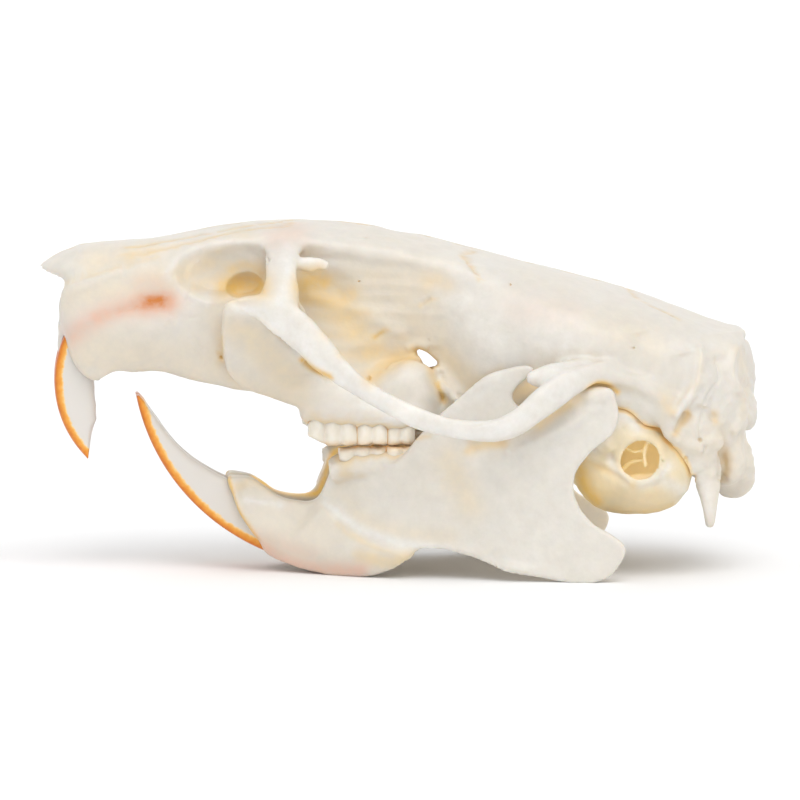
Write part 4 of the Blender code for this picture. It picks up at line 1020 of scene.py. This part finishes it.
def molar(name, place, crown, root, side, grow=0.0):
    """A cheek tooth: a lobe for each row of cusps, drawn in at the neck, with a worn basin in each lobe."""
    front, back, half, out = place
    lobes = 3 if back - front > 2 else 2
    length = (back - front) / lobes
    way = 1 if crown > root else -1
    centres = [front + (i + 0.5) * length for i in range(lobes)]
    shapes = []
    for x in centres:
        bpy.ops.object.select_all(action="DESELECT")
        bpy.ops.mesh.primitive_cylinder_add(vertices=40, radius=1.0, depth=1.0)
        lobe = bpy.context.active_object
        size = (length * LOBE_REACH + grow, half + grow, abs(crown - root) + 2 * grow, 1.0)
        lobe.data.transform(Matrix.Translation((x, side * out, (crown + root) / 2)) @ Matrix.Diagonal(size))
        shapes.append(lobe)
    tooth = gathered(name, shapes)
    grown_together(tooth, 0.12 if grow else 0.07, 2 if grow else 8)
    points = points_of(tooth)

    def in_lobe(long, wide):
        """How far each point is from the nearest lobe's middle, as a share of these reaches."""
        across = (points[:, 1] - side * out) / wide
        return np.min([np.hypot((points[:, 0] - x) / long, across) for x in centres], axis=0)

    if not grow:
        # The top is worn: each lobe has a basin, and the rim round them all falls away.
        top = ease(0.35, 0.05, (crown - points[:, 2]) * way)
        basin = ease(1.0, 0.6, in_lobe(length * 0.36, half * 0.72))
        rim = np.clip(in_lobe(length * LOBE_REACH, half), 0, 1.1)
        points[:, 2] -= way * top * (0.16 * basin + 0.16 * rim**3)
        points[:, 2] += way * top * 0.09 * grain(points, 0.8, int(7 * crown + 3 * front))
        points[:, :2] += 0.05 * grain(points, 0.7, int(5 * crown + front))[:, None]
        if lobes == 3:
            # The first tooth of a row slopes off at its front, less where the far jaw would show past it.
            slope = FRONT_SLOPE if way < 0 or side > 0 else HIDDEN_SLOPE
            at_front = ease(1.2, 0.0, points[:, 0] - front) * ease(1.6, 0.0, (crown - points[:, 2]) * way)
            points[:, 2] -= way * slope * at_front
        neck = ease(0.55, 1.2, (crown - points[:, 2]) * way)
        middle = (front + back) / 2
        points[:, 0] = middle + (points[:, 0] - middle) * (1 - 0.07 * neck)
        points[:, 1] = side * out + (points[:, 1] - side * out) * (1 - 0.08 * neck)
    reach = grow or TOUCH
    points[:, 0] = np.clip(points[:, 0], front - reach, back + reach)
    set_points(tooth, points)
    return tooth


molars = {}
for word, side in SIDES.items():
    for number in range(3):
        for row, carrier, places, crown, root in (
            ("upper", cranium, UPPER_MOLARS, UPPER_CROWN, UPPER_ROOT),
            ("lower", jaws[word], LOWER_MOLARS, LOWER_CROWN, LOWER_ROOT),
        ):
            cut_away(carrier, molar("socket", places[number], crown, root, side, SOCKET_GAP))
            tooth = molar(f"{row}_molar_tooth_{number + 1}_{word}", places[number], crown, root, side)
            paint(tooth, "worn", ease(0.5, 0.02, abs(points_of(tooth)[:, 2] - crown)))
            molars[f"{row}_molar_{number + 1}_{word}"] = tooth


# The bone's surface: cleaned bone, degreased and dried, which lets a little light in. Its coats are
# painted. Gold is partly a golden stain and partly painted shade in hollows, folds and crevices, where
# thin bone would let light through. Warm is partly the bone's tone and partly painted shade, and pale
# partly its tone and partly painted light along its edges and lit faces. It keeps an iron stain by the
# incisor's root and a pink tint. Strokes are a route in the photograph's frame, its half width there and a
# strength.
CRANIUM_STROKES = {
    "gold_stain_and_shade": [
        ([(226, 288), (244, 285), (258, 286)], 13, 0.95), ([(228, 272), (248, 266), (262, 272)], 6, 0.55),
        ([(176, 281), (194, 270), (212, 262)], 9, 0.2), ([(196, 288), (214, 282), (226, 276)], 8, 0.3),
        ([(302, 286), (312, 282), (322, 282)], 11, 0.75), ([(302, 298), (326, 300), (352, 296)], 9, 0.5),
        ([(304, 274), (320, 270)], 7, 0.5), ([(314, 316), (340, 318), (366, 312)], 6, 0.3),
        ([(324, 334), (346, 336), (362, 332)], 7, 0.25), ([(340, 354), (362, 356), (380, 350)], 6, 0.3),
        ([(369, 379), (384, 366), (399, 358), (414, 354)], 8, 0.55), ([(374, 337), (386, 330)], 2.5, 0.6),
        ([(420, 306), (432, 299)], 2.5, 0.3), ([(428, 282), (438, 280), (448, 286)], 9, 0.25),
        ([(437, 383), (441, 392), (445, 401)], 3.5, 0.8), ([(431, 368), (434, 380), (440, 391)], 5, 0.3),
        ([(302, 360), (315, 370), (331, 377)], 3, 1), ([(221, 336), (221, 360)], 2.4, 0.5),
        ([(582, 402), (590, 387), (604, 383), (618, 392)], 2.6, 0.9),
        ([(688, 413), (681, 424), (675, 434)], 3.5, 0.5), ([(714, 414), (715, 421)], 4, 0.45),
        ([(664, 402), (672, 412)], 5, 0.25), ([(330, 424), (380, 434), (416, 432)], 3, 0.35),
        ([(472, 394), (486, 382), (500, 374)], 7, 0.35),
    ],
    "warm_tone_and_shade": [
        ([(306, 285), (330, 300), (350, 322), (372, 346)], 22, 0.95),
        ([(392, 284), (410, 310), (420, 336)], 22, 0.4), ([(440, 352), (458, 368), (478, 392)], 14, 0.6),
        ([(396, 384), (416, 382), (430, 392)], 14, 0.25), ([(186, 276), (212, 266), (250, 278)], 16, 0.35),
        ([(70, 300), (130, 285), (190, 262), (240, 236)], 14, 0.35),
        ([(90, 350), (150, 360), (210, 372)], 26, 0.3), ([(232, 318), (258, 345), (290, 380)], 20, 0.6),
        ([(230, 380), (262, 392), (300, 400)], 14, 0.4), ([(60, 350), (120, 368), (200, 378)], 12, 0.3),
        ([(90, 262), (120, 258), (150, 250)], 12, 0.4), ([(66, 283), (110, 270), (158, 257)], 3, 0.5),
        ([(560, 320), (610, 330), (650, 345)], 16, 0.2), ([(697, 350), (700, 372), (692, 392)], 4, 0.3),
        ([(664, 392), (672, 404), (664, 416)], 9, 0.3), ([(738, 350), (746, 380), (742, 420)], 5, 0.3),
        ([(720, 430), (728, 455), (722, 480)], 7, 0.35), ([(270, 300), (300, 420), (420, 436)], 6, 0.2),
    ],
    "pale_tone_and_light": [
        (
            [(230, 308), (262, 312), (290, 334), (330, 372), (392, 416), (440, 432), (490, 434), (530, 416)],
            11, 1,
        ),
        ([(286, 250), (288, 280), (280, 304)], 10, 0.9), ([(304, 260), (330, 264)], 7, 0.9),
        ([(458, 296), (476, 322), (500, 350)], 30, 0.5), ([(392, 384), (410, 378), (428, 390)], 14, 0.5),
        ([(690, 470), (704, 490), (706, 510)], 12, 0.8),
        ([(168, 277), (180, 289), (195, 299), (208, 303)], 4, 0.8),
        ([(166, 272), (182, 256), (210, 245), (240, 242), (262, 250)], 4, 0.7),
        ([(439, 370), (440, 383), (446, 393), (452, 400)], 1.6, 1),
        ([(440, 408), (470, 392), (500, 376), (528, 372)], 6, 0.4),
        ([(590, 398), (640, 404), (672, 424)], 8, 0.3),
        ([(690, 346), (697, 356), (690, 394), (678, 416)], 2.5, 0.5),
    ],
    "pink": [
        ([(170, 304), (148, 304), (119, 309), (92, 320), (72, 336)], 12, 0.85),
        ([(140, 282), (158, 281)], 9, 0.35), ([(278, 238), (296, 232)], 14, 0.4),
        ([(52, 326), (60, 338)], 8, 0.5), ([(520, 310), (570, 316)], 16, 0.2),
    ],
    "orange": [
        ([(149, 302), (160, 301)], 7, 1.05), ([(146, 303), (163, 301)], 11, 0.55),
        ([(136, 305.5), (150, 303)], 7, 0.45), ([(118, 310), (136, 306)], 6, 0.25),
        ([(98, 317), (118, 311)], 7, 0.13),
    ],
    "painted_glow": [
        ([(236, 288), (252, 286)], 9, 0.08), ([(455, 402), (470, 388), (490, 372)], 14, 0.1),
        ([(400, 412), (424, 404), (440, 410)], 10, 0.13), ([(590, 394), (608, 398), (626, 408)], 9, 0.1),
        ([(582, 402), (590, 387), (604, 383), (618, 392)], 4, 0.2),
        ([(312, 268), (380, 266), (450, 276)], 16, 0.08), ([(456, 300), (470, 320), (490, 345)], 20, 0.08),
        ([(704, 462), (708, 490), (709, 512)], 9, 0.08), ([(722, 350), (734, 400), (736, 470)], 14, 0.06),
    ],
}
# On the bulla, gold and warm are partly painted shade along its edges and crevices, and pale partly a painted
# highlight on its collar and a lit patch below.
EAR_STROKES = {
    "gold_stain_and_shade": [
        ([(578, 458), (582, 482), (596, 502)], 9, 0.9), ([(604, 509), (640, 514), (672, 508)], 6, 0.5),
        ([(580, 459), (607, 471), (632, 485)], 4, 0.3), ([(612, 398), (622, 402)], 6, 0.5),
    ],
    "warm_tone_and_shade": [([(590, 480), (620, 496), (660, 498)], 16, 0.9), ([(620, 418), (642, 428), (658, 446)], 5, 0.5)],
    "pale_tone_and_light": [
        ([(592, 446), (604, 430), (622, 416), (640, 424)], 10, 1),
        ([(610, 458), (616, 470), (628, 482)], 5, 0.7), ([(642, 484), (658, 478), (668, 466)], 6, 0.8),
        ([(662, 480), (672, 486), (682, 490)], 8, 0.7),
    ],
}
# On the jaw, gold and warm are partly painted shade in its hollows and below its crest, pale partly a painted
# highlight along the crest, and a painted glow lights the hollow under the arch.
JAW_STROKES = {
    "gold_stain_and_shade": [
        ([(468, 451), (486, 445), (504, 443)], 5, 0.45), ([(538, 426), (556, 412), (578, 398)], 7, 0.45),
        ([(228, 476), (232, 491), (237, 508), (251, 530), (258, 540)], 2.4, 0.9),
        ([(330, 456), (334, 440), (346, 431)], 3, 0.5), ([(356, 433), (400, 440), (430, 436)], 2.2, 0.4),
        ([(576, 400), (590, 385), (606, 383)], 3, 0.3),
    ],
    "warm_tone_and_shade": [
        ([(451, 461), (460, 482), (470, 504)], 16, 0.5), ([(360, 556), (388, 562), (414, 556)], 8, 0.9),
        ([(338, 524), (354, 537), (382, 550), (412, 557)], 4, 0.6),
        ([(344, 500), (368, 522), (410, 534), (450, 536)], 9, 0.3),
        ([(240, 486), (254, 482), (272, 490)], 7, 0.6), ([(330, 500), (345, 470), (360, 450)], 12, 0.25),
        ([(470, 440), (520, 430), (560, 404)], 8, 0.35),
    ],
    "pale_tone_and_light": [
        ([(325, 503), (345, 519), (370, 533), (402, 543), (450, 550)], 4.5, 1),
        ([(246, 500), (262, 502), (281, 505)], 4, 0.9), ([(330, 470), (326, 500), (340, 508)], 8, 0.5),
        ([(440, 420), (470, 396), (510, 372)], 8, 0.6),
    ],
    "pink": [
        ([(258, 546), (286, 562), (320, 570), (360, 571)], 9, 0.9),
        ([(250, 536), (280, 545), (310, 556)], 10, 0.35),
    ],
    "painted_glow": [([(540, 424), (556, 412), (574, 400)], 8, 0.14)],
}
# Places of painted light: the far jaw's rim, seen past the near one, and the window under the arch's root,
# whose shaded inside is painted golden and given a painted glow.
FAR_JAW_RIM = [(254, 478), (281, 490), (314, 494), (323, 482), (334, 453), (352, 444)]
WINDOW_STROKES = [([(508, 404), (520, 392), (532, 384)], 12, 0.5)]
# The coats' colours and strengths. Gold, warm and pale hold painted shade and light besides the bone's own
# tones, and orange is the iron stain but for a touch of painted light on the far jaw's rim.
COATS = {
    "warm_tone_and_shade": ("#DFCAA2", 0.9),
    "pale_tone_and_light": ("#E1DFDA", 0.9),
    "gold_stain_and_shade": ("#E0B862", 1),
    "pink": ("#DBAE98", 0.75),
    "orange": ("#C6731F", 1.35),
}


def brushed(spots, strokes):
    """How much of a coat each spot in the photograph's frame gets from the strokes."""
    coat = np.zeros(len(spots))
    for route, wide, strength in strokes:
        distance = off_route(spots * PIXELS_PER_MM, route)[0]
        coat = np.maximum(coat, strength * np.exp(-((distance / wide) ** 2)))
    return coat


def painted(piece, strokes, extra):
    """Paints each coat and the painted glow on the bone's outer side. Extra holds those worked out
    from the shape.
    """
    relief = Relief(piece)
    spots, facing = relief.view("picture")
    seen_side = ease(-0.35, 0.0, facing) * ease(0.6, 1.2, relief.out)
    for name in (*COATS, "painted_glow"):
        coat = brushed(spots, strokes.get(name, [])) * seen_side
        paint(piece, name, np.maximum(coat, extra.get(name, 0)))


def gap_to(piece, other, far):
    """How far each point of a piece is from another piece, up to this distance."""
    theirs = points_of(other)
    tree = kdtree.KDTree(len(theirs))
    for i, point in enumerate(theirs):
        tree.insert(point, i)
    tree.balance()
    points = points_of(piece)
    near = ((points > theirs.min(axis=0) - far) & (points < theirs.max(axis=0) + far)).all(axis=1)
    gap = np.full(len(points), far)
    for i in np.flatnonzero(near):
        gap[i] = min(far, tree.find(points[i])[2])
    return gap


def by(piece, others, near, far):
    """1 where a point of the piece is this near one of the others, fading to 0 where it is this far."""
    return np.max([ease(far, near, gap_to(piece, other, far)) for other in others], axis=0)


relief = Relief(cranium)
x, _, z = relief.points.T
out = relief.out
# Coats from the cranium's shape. The sutures on its top, underside and back are golden. Painted shade: golden
# in the crevices by the cheek teeth and the bullae and in the window under the arch's root, warm on the wall
# behind the eye and on faces that look down. Painted glow: by the bullae, in the window and faintly behind
# the eye. The arch's outer face is paler and the skull's low back warmer.
dirt = np.max([seam for view, _, seam, _ in seams(relief, 1.3) if view != "picture"], axis=0)
on_arch = ease(6.4, 7.6, out) * ease(12.0, 9.0, x) * ease(17.5, 17.0, z)
behind_eye = ease(-6.0, -4.0, x) * ease(4.5, 3.0, x) * ease(4.6, 3.8, out)
behind_eye *= ease(19.5, 18.0, z) * ease(9.5, 11.0, z)
under = ease(0.2, 0.9, -relief.normals[:, 2]) * ease(15.5, 13.5, z)
base = ease(10.5, 8.0, z) * ease(9.0, 11.0, x)
by_teeth = by(cranium, [tooth for node, tooth in molars.items() if "upper" in node], 0.1, 0.4)
by_ear = by(cranium, bullae.values(), 0.16, 0.38)
window = brushed(seen(relief.folded), WINDOW_STROKES) * ease(7.9, 7.5, out)
painted(cranium, CRANIUM_STROKES, {
    "gold_stain_and_shade": np.max([0.75 * by_ear, window, 0.45 * by_teeth, 0.4 * dirt], axis=0),
    "painted_glow": np.max([0.15 * by_ear, 0.85 * window, 0.04 * behind_eye], axis=0),
    "pale_tone_and_light": 0.7 * on_arch,
    "warm_tone_and_shade": np.max([0.35 * behind_eye, 0.25 * under, 0.2 * base], axis=0),
})
for word, ear in bullae.items():
    points = points_of(ear)
    x, y, z = points.T
    in_hole = np.hypot(x - hole_x, z - hole_z)
    inside = ease(7.75, 7.35, abs(y)) * ease(5.6, 5.8, abs(y)) * ease(1.5, 1.3, in_hole)
    in_shell = np.linalg.norm((points * (1, SIDES[word], 1) - BULLA_HOLLOW[0]) / BULLA_HOLLOW[1], axis=1)
    inside = np.maximum(inside, ease(1.12, 1.04, in_shell))
    by_skull = by(ear, [cranium], 0.16, 0.32)
    # Golden colour and a painted glow inside the ear hole and shell and in the crevice by the skull are
    # painted shade and light; so is the painted glow on the bulla's front part, which the jaw shades. The
    # whole bulla is a little warmer in tone.
    painted(ear, EAR_STROKES, {
        "gold_stain_and_shade": np.maximum(0.65 * by_skull, 0.2 * inside),
        "warm_tone_and_shade": 0.3,
        "painted_glow": np.max([0.2 * inside, 0.13 * by_skull, 0.38 * ease(12.8, 10.6, x)], axis=0),
    })
for word, jaw in jaws.items():
    relief = Relief(jaw)
    x = relief.points[:, 0]
    # The jaw is paler towards its back and warmer towards the chin, and gets golden painted shade in the
    # crevice by its cheek teeth.
    extra = {"pale_tone_and_light": 0.25 * ease(0.0, 8.0, x), "warm_tone_and_shade": 0.2 * ease(-1.0, -6.0, x)}
    extra["gold_stain_and_shade"] = 0.4 * by(jaw, [molars[f"lower_molar_{i}_{word}"] for i in (1, 2, 3)], 0.1, 0.4)
    if word == "right":
        # Past the near half, the far half's inner side gets painted light: golden colour, a touch of
        # orange and a painted glow at its rim, and a warmer colour and a painted glow at its angle, as if
        # lit through.
        inner = ease(0.35, 0.0, relief.normals[:, 1])
        rim = brushed(seen(relief.points), [(FAR_JAW_RIM, 4, 1.0)]) * inner
        angle = ease(7.0, 9.5, x) * inner
        extra["gold_stain_and_shade"] = np.maximum(extra["gold_stain_and_shade"], rim)
        extra["orange"] = 0.04 * rim
        extra["painted_glow"] = np.maximum(0.42 * rim, 0.3 * angle)
        extra["warm_tone_and_shade"] = np.maximum(extra["warm_tone_and_shade"], 0.6 * angle)
    painted(jaw, JAW_STROKES, extra)


def per_mm(size):
    """A texture scale that makes features this many millimetres wide, on coordinates in metres."""
    return 1000.0 / size


def add(nodes, kind, *first, **named):
    """Adds a shader node. Names in small letters are its settings, the others its inputs, as in wire."""
    node = nodes.new("ShaderNode" + kind)
    for key in [key for key in named if key.islower()]:
        setattr(node, key, named.pop(key))
    wire(node, *first, **named)
    return node


# Dry cleaned bone: satin, slightly see-through, with fibres and pores of 0.1 to 0.4 mm that break the
# highlights up. Hollows that the occlusion node finds get a painted shade of a deeper golden colour, and
# each painted coat lies over the last one, a little mottled.
def dry_bone(name, base, cream, hollow_shade):
    material, nodes, shader = new_material(name)
    where = add(nodes, "TexCoord").outputs["Object"]
    cloud = add(nodes, "TexNoise", Vector=where, Scale=per_mm(4.0), Detail=4.0)
    # Painted shade: the darker the occlusion, the more of the hollow shade colour a point takes.
    hollow = add(nodes, "AmbientOcclusion", Distance=0.0022, samples=12, only_local=True)
    depth = add(nodes, "MapRange", Value=hollow.outputs["AO"], From_Min=0.85, From_Max=0.15)
    mottle = add(nodes, "TexNoise", Vector=where, Scale=per_mm(0.9), Detail=5.0, Roughness=0.65)
    broken = add(nodes, "MapRange", Value=mottle, From_Min=0.25, From_Max=0.6, To_Min=0.55)
    layers = [(cloud, cream), (depth, hollow_shade)]
    for coat, (code, strength) in COATS.items():
        amount = add(nodes, "Attribute", attribute_name=coat).outputs["Fac"]
        amount = add(nodes, "Math", amount, broken, operation="MULTIPLY")
        layers.append((add(nodes, "Math", amount, strength, operation="MULTIPLY"), code))
    colour = srgb(base)
    for factor, code in layers:
        colour = add(nodes, "Mix", factor, colour, srgb(code), data_type="RGBA")
    speck = add(nodes, "MapRange", Value=mottle, From_Min=0.3, From_Max=0.7, To_Min=0.945, To_Max=1.03)
    colour = add(nodes, "Mix", 1.0, colour, speck, data_type="RGBA", blend_type="MULTIPLY")
    # A painted glow: where the glow coat is painted, the bone gives off its own colour as light, in place of
    # light let through the thin bone.
    painted_glow = add(nodes, "Attribute", attribute_name="painted_glow").outputs["Fac"]
    gloss = add(nodes, "MapRange", Value=mottle, To_Min=0.36, To_Max=0.56)
    stretch = add(nodes, "Mapping", Vector=where, Scale=(0.3, 1.0, 1.0))
    fibre = add(nodes, "TexNoise", Vector=stretch, Scale=per_mm(0.22), Detail=3.0)
    lumps = add(nodes, "TexNoise", Vector=where, Scale=per_mm(0.6), Detail=2.0)
    bump = add(nodes, "Bump", Height=fibre, Strength=0.25, Distance=0.00003)
    bump = add(nodes, "Bump", Height=lumps, Strength=0.5, Distance=0.00005, Normal=bump)
    wire(shader, Base_Color=colour, Emission_Color=colour, Emission_Strength=painted_glow, Roughness=gloss,
         Normal=bump, IOR=1.5, Subsurface_Weight=0.3, Subsurface_Radius=(0.9, 0.55, 0.3),
         Subsurface_Scale=0.0005)
    return material


cranium_bone = dry_bone("dry_bone_cranium", "#DAD6CF", "#D7CFC1", "#D3AF6E")
bulla_bone = dry_bone("dry_bone_ear", "#E2D8C2", "#DFCEA6", "#E8D69E")
jaw_bone = dry_bone("dry_bone_jaw", "#DAD6CE", "#D7D0C3", "#D3B27C")


# Iron-stained enamel over dentine: glassy orange, browner on the outer face and thinning to yellow at its
# toothed edge, then the silky pinkish white of dentine with growth lines 0.3 mm apart.
rodent_enamel, nodes, shader = new_material("iron_stained_enamel")
where = add(nodes, "TexCoord").outputs["Object"]
depth = add(nodes, "Attribute", attribute_name="enamel_depth").outputs["Fac"]
toothed = add(nodes, "TexNoise", Vector=where, Scale=per_mm(0.35), Detail=2.0)
ragged = add(nodes, "Math", toothed, 0.3, depth, operation="MULTIPLY_ADD")
ramp = add(nodes, "ValToRGB", Fac=ragged)
stops = ramp.color_ramp.elements
stops.remove(stops[1])
stops[0].color = srgb("#B4570F")
for position, code in ((0.18, "#C96A12"), (0.33, "#DD861F"), (0.54, "#EBA845"), (0.64, "#F0CD8E"),
                       (0.7, "#D7D2CB")):
    stops.new(position).color = srgb(code)
fine = add(nodes, "TexNoise", Vector=where, Scale=per_mm(0.3), Detail=3.0)
bump = add(nodes, "Bump", Height=fine, Strength=0.2, Distance=0.00003)
wire(shader, Base_Color=ramp, Normal=bump, Roughness=0.28, Subsurface_Weight=0.15,
     Subsurface_Radius=(0.7, 0.45, 0.25), Subsurface_Scale=0.0006)


# Cheek-tooth enamel: milky and glossy, with brown plant stain on the worn tops. The gaps, which the
# occlusion node finds, are partly stained and partly painted golden shade, and a painted glow of the
# same colour keeps them golden.
molar_enamel, nodes, shader = new_material("stained_molar_enamel")
where = add(nodes, "TexCoord").outputs["Object"]
# Painted shade in the gaps: the darker the occlusion, the more golden the colour.
hollow = add(nodes, "AmbientOcclusion", Distance=0.0004, samples=12)
gap = add(nodes, "MapRange", Value=hollow.outputs["AO"], From_Min=0.45, From_Max=0.0, To_Max=0.6)
worn = add(nodes, "Attribute", attribute_name="worn").outputs["Fac"]
blotch = add(nodes, "TexNoise", Vector=where, Scale=per_mm(0.5), Detail=4.0)
stain = add(nodes, "Math", worn, blotch, operation="MULTIPLY")
colour = srgb("#EBE7DE")
for factor, code in ((blotch, "#E2D8C4"), (stain, "#D9AE72"), (gap, "#DCB06A")):
    colour = add(nodes, "Mix", factor, colour, srgb(code), data_type="RGBA")
# A painted glow in the gaps, in the same golden colour.
through = add(nodes, "Math", gap, 0.45, operation="MULTIPLY")
wire(shader, Base_Color=colour, Emission_Color=srgb("#DCB06A"), Emission_Strength=through, Roughness=0.25,
     Subsurface_Weight=0.2, Subsurface_Radius=(0.7, 0.5, 0.3), Subsurface_Scale=0.0005)


def hand_over(piece, node, material):
    """Brings a finished piece to metres on the table, and lets it stand for its solid."""
    piece.data.transform(Matrix.Scale(MM, 4) @ Matrix.Translation((0, 0, -REST_PLANE)))
    piece.data.materials.clear()
    piece.data.materials.append(material)
    pick(piece)
    bpy.ops.object.shade_smooth_by_angle(angle=math.radians(50))
    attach(piece, "root")
    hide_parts(node)


hand_over(cranium, "cranium", cranium_bone)
for word in SIDES:
    hand_over(bullae[word], f"auditory_bulla_{word}", bulla_bone)
    hand_over(jaws[word], f"mandible_{word}", jaw_bone)
for node, tooth in incisors.items():
    hand_over(tooth, node, rodent_enamel)
for node, tooth in molars.items():
    hand_over(tooth, node, molar_enamel)
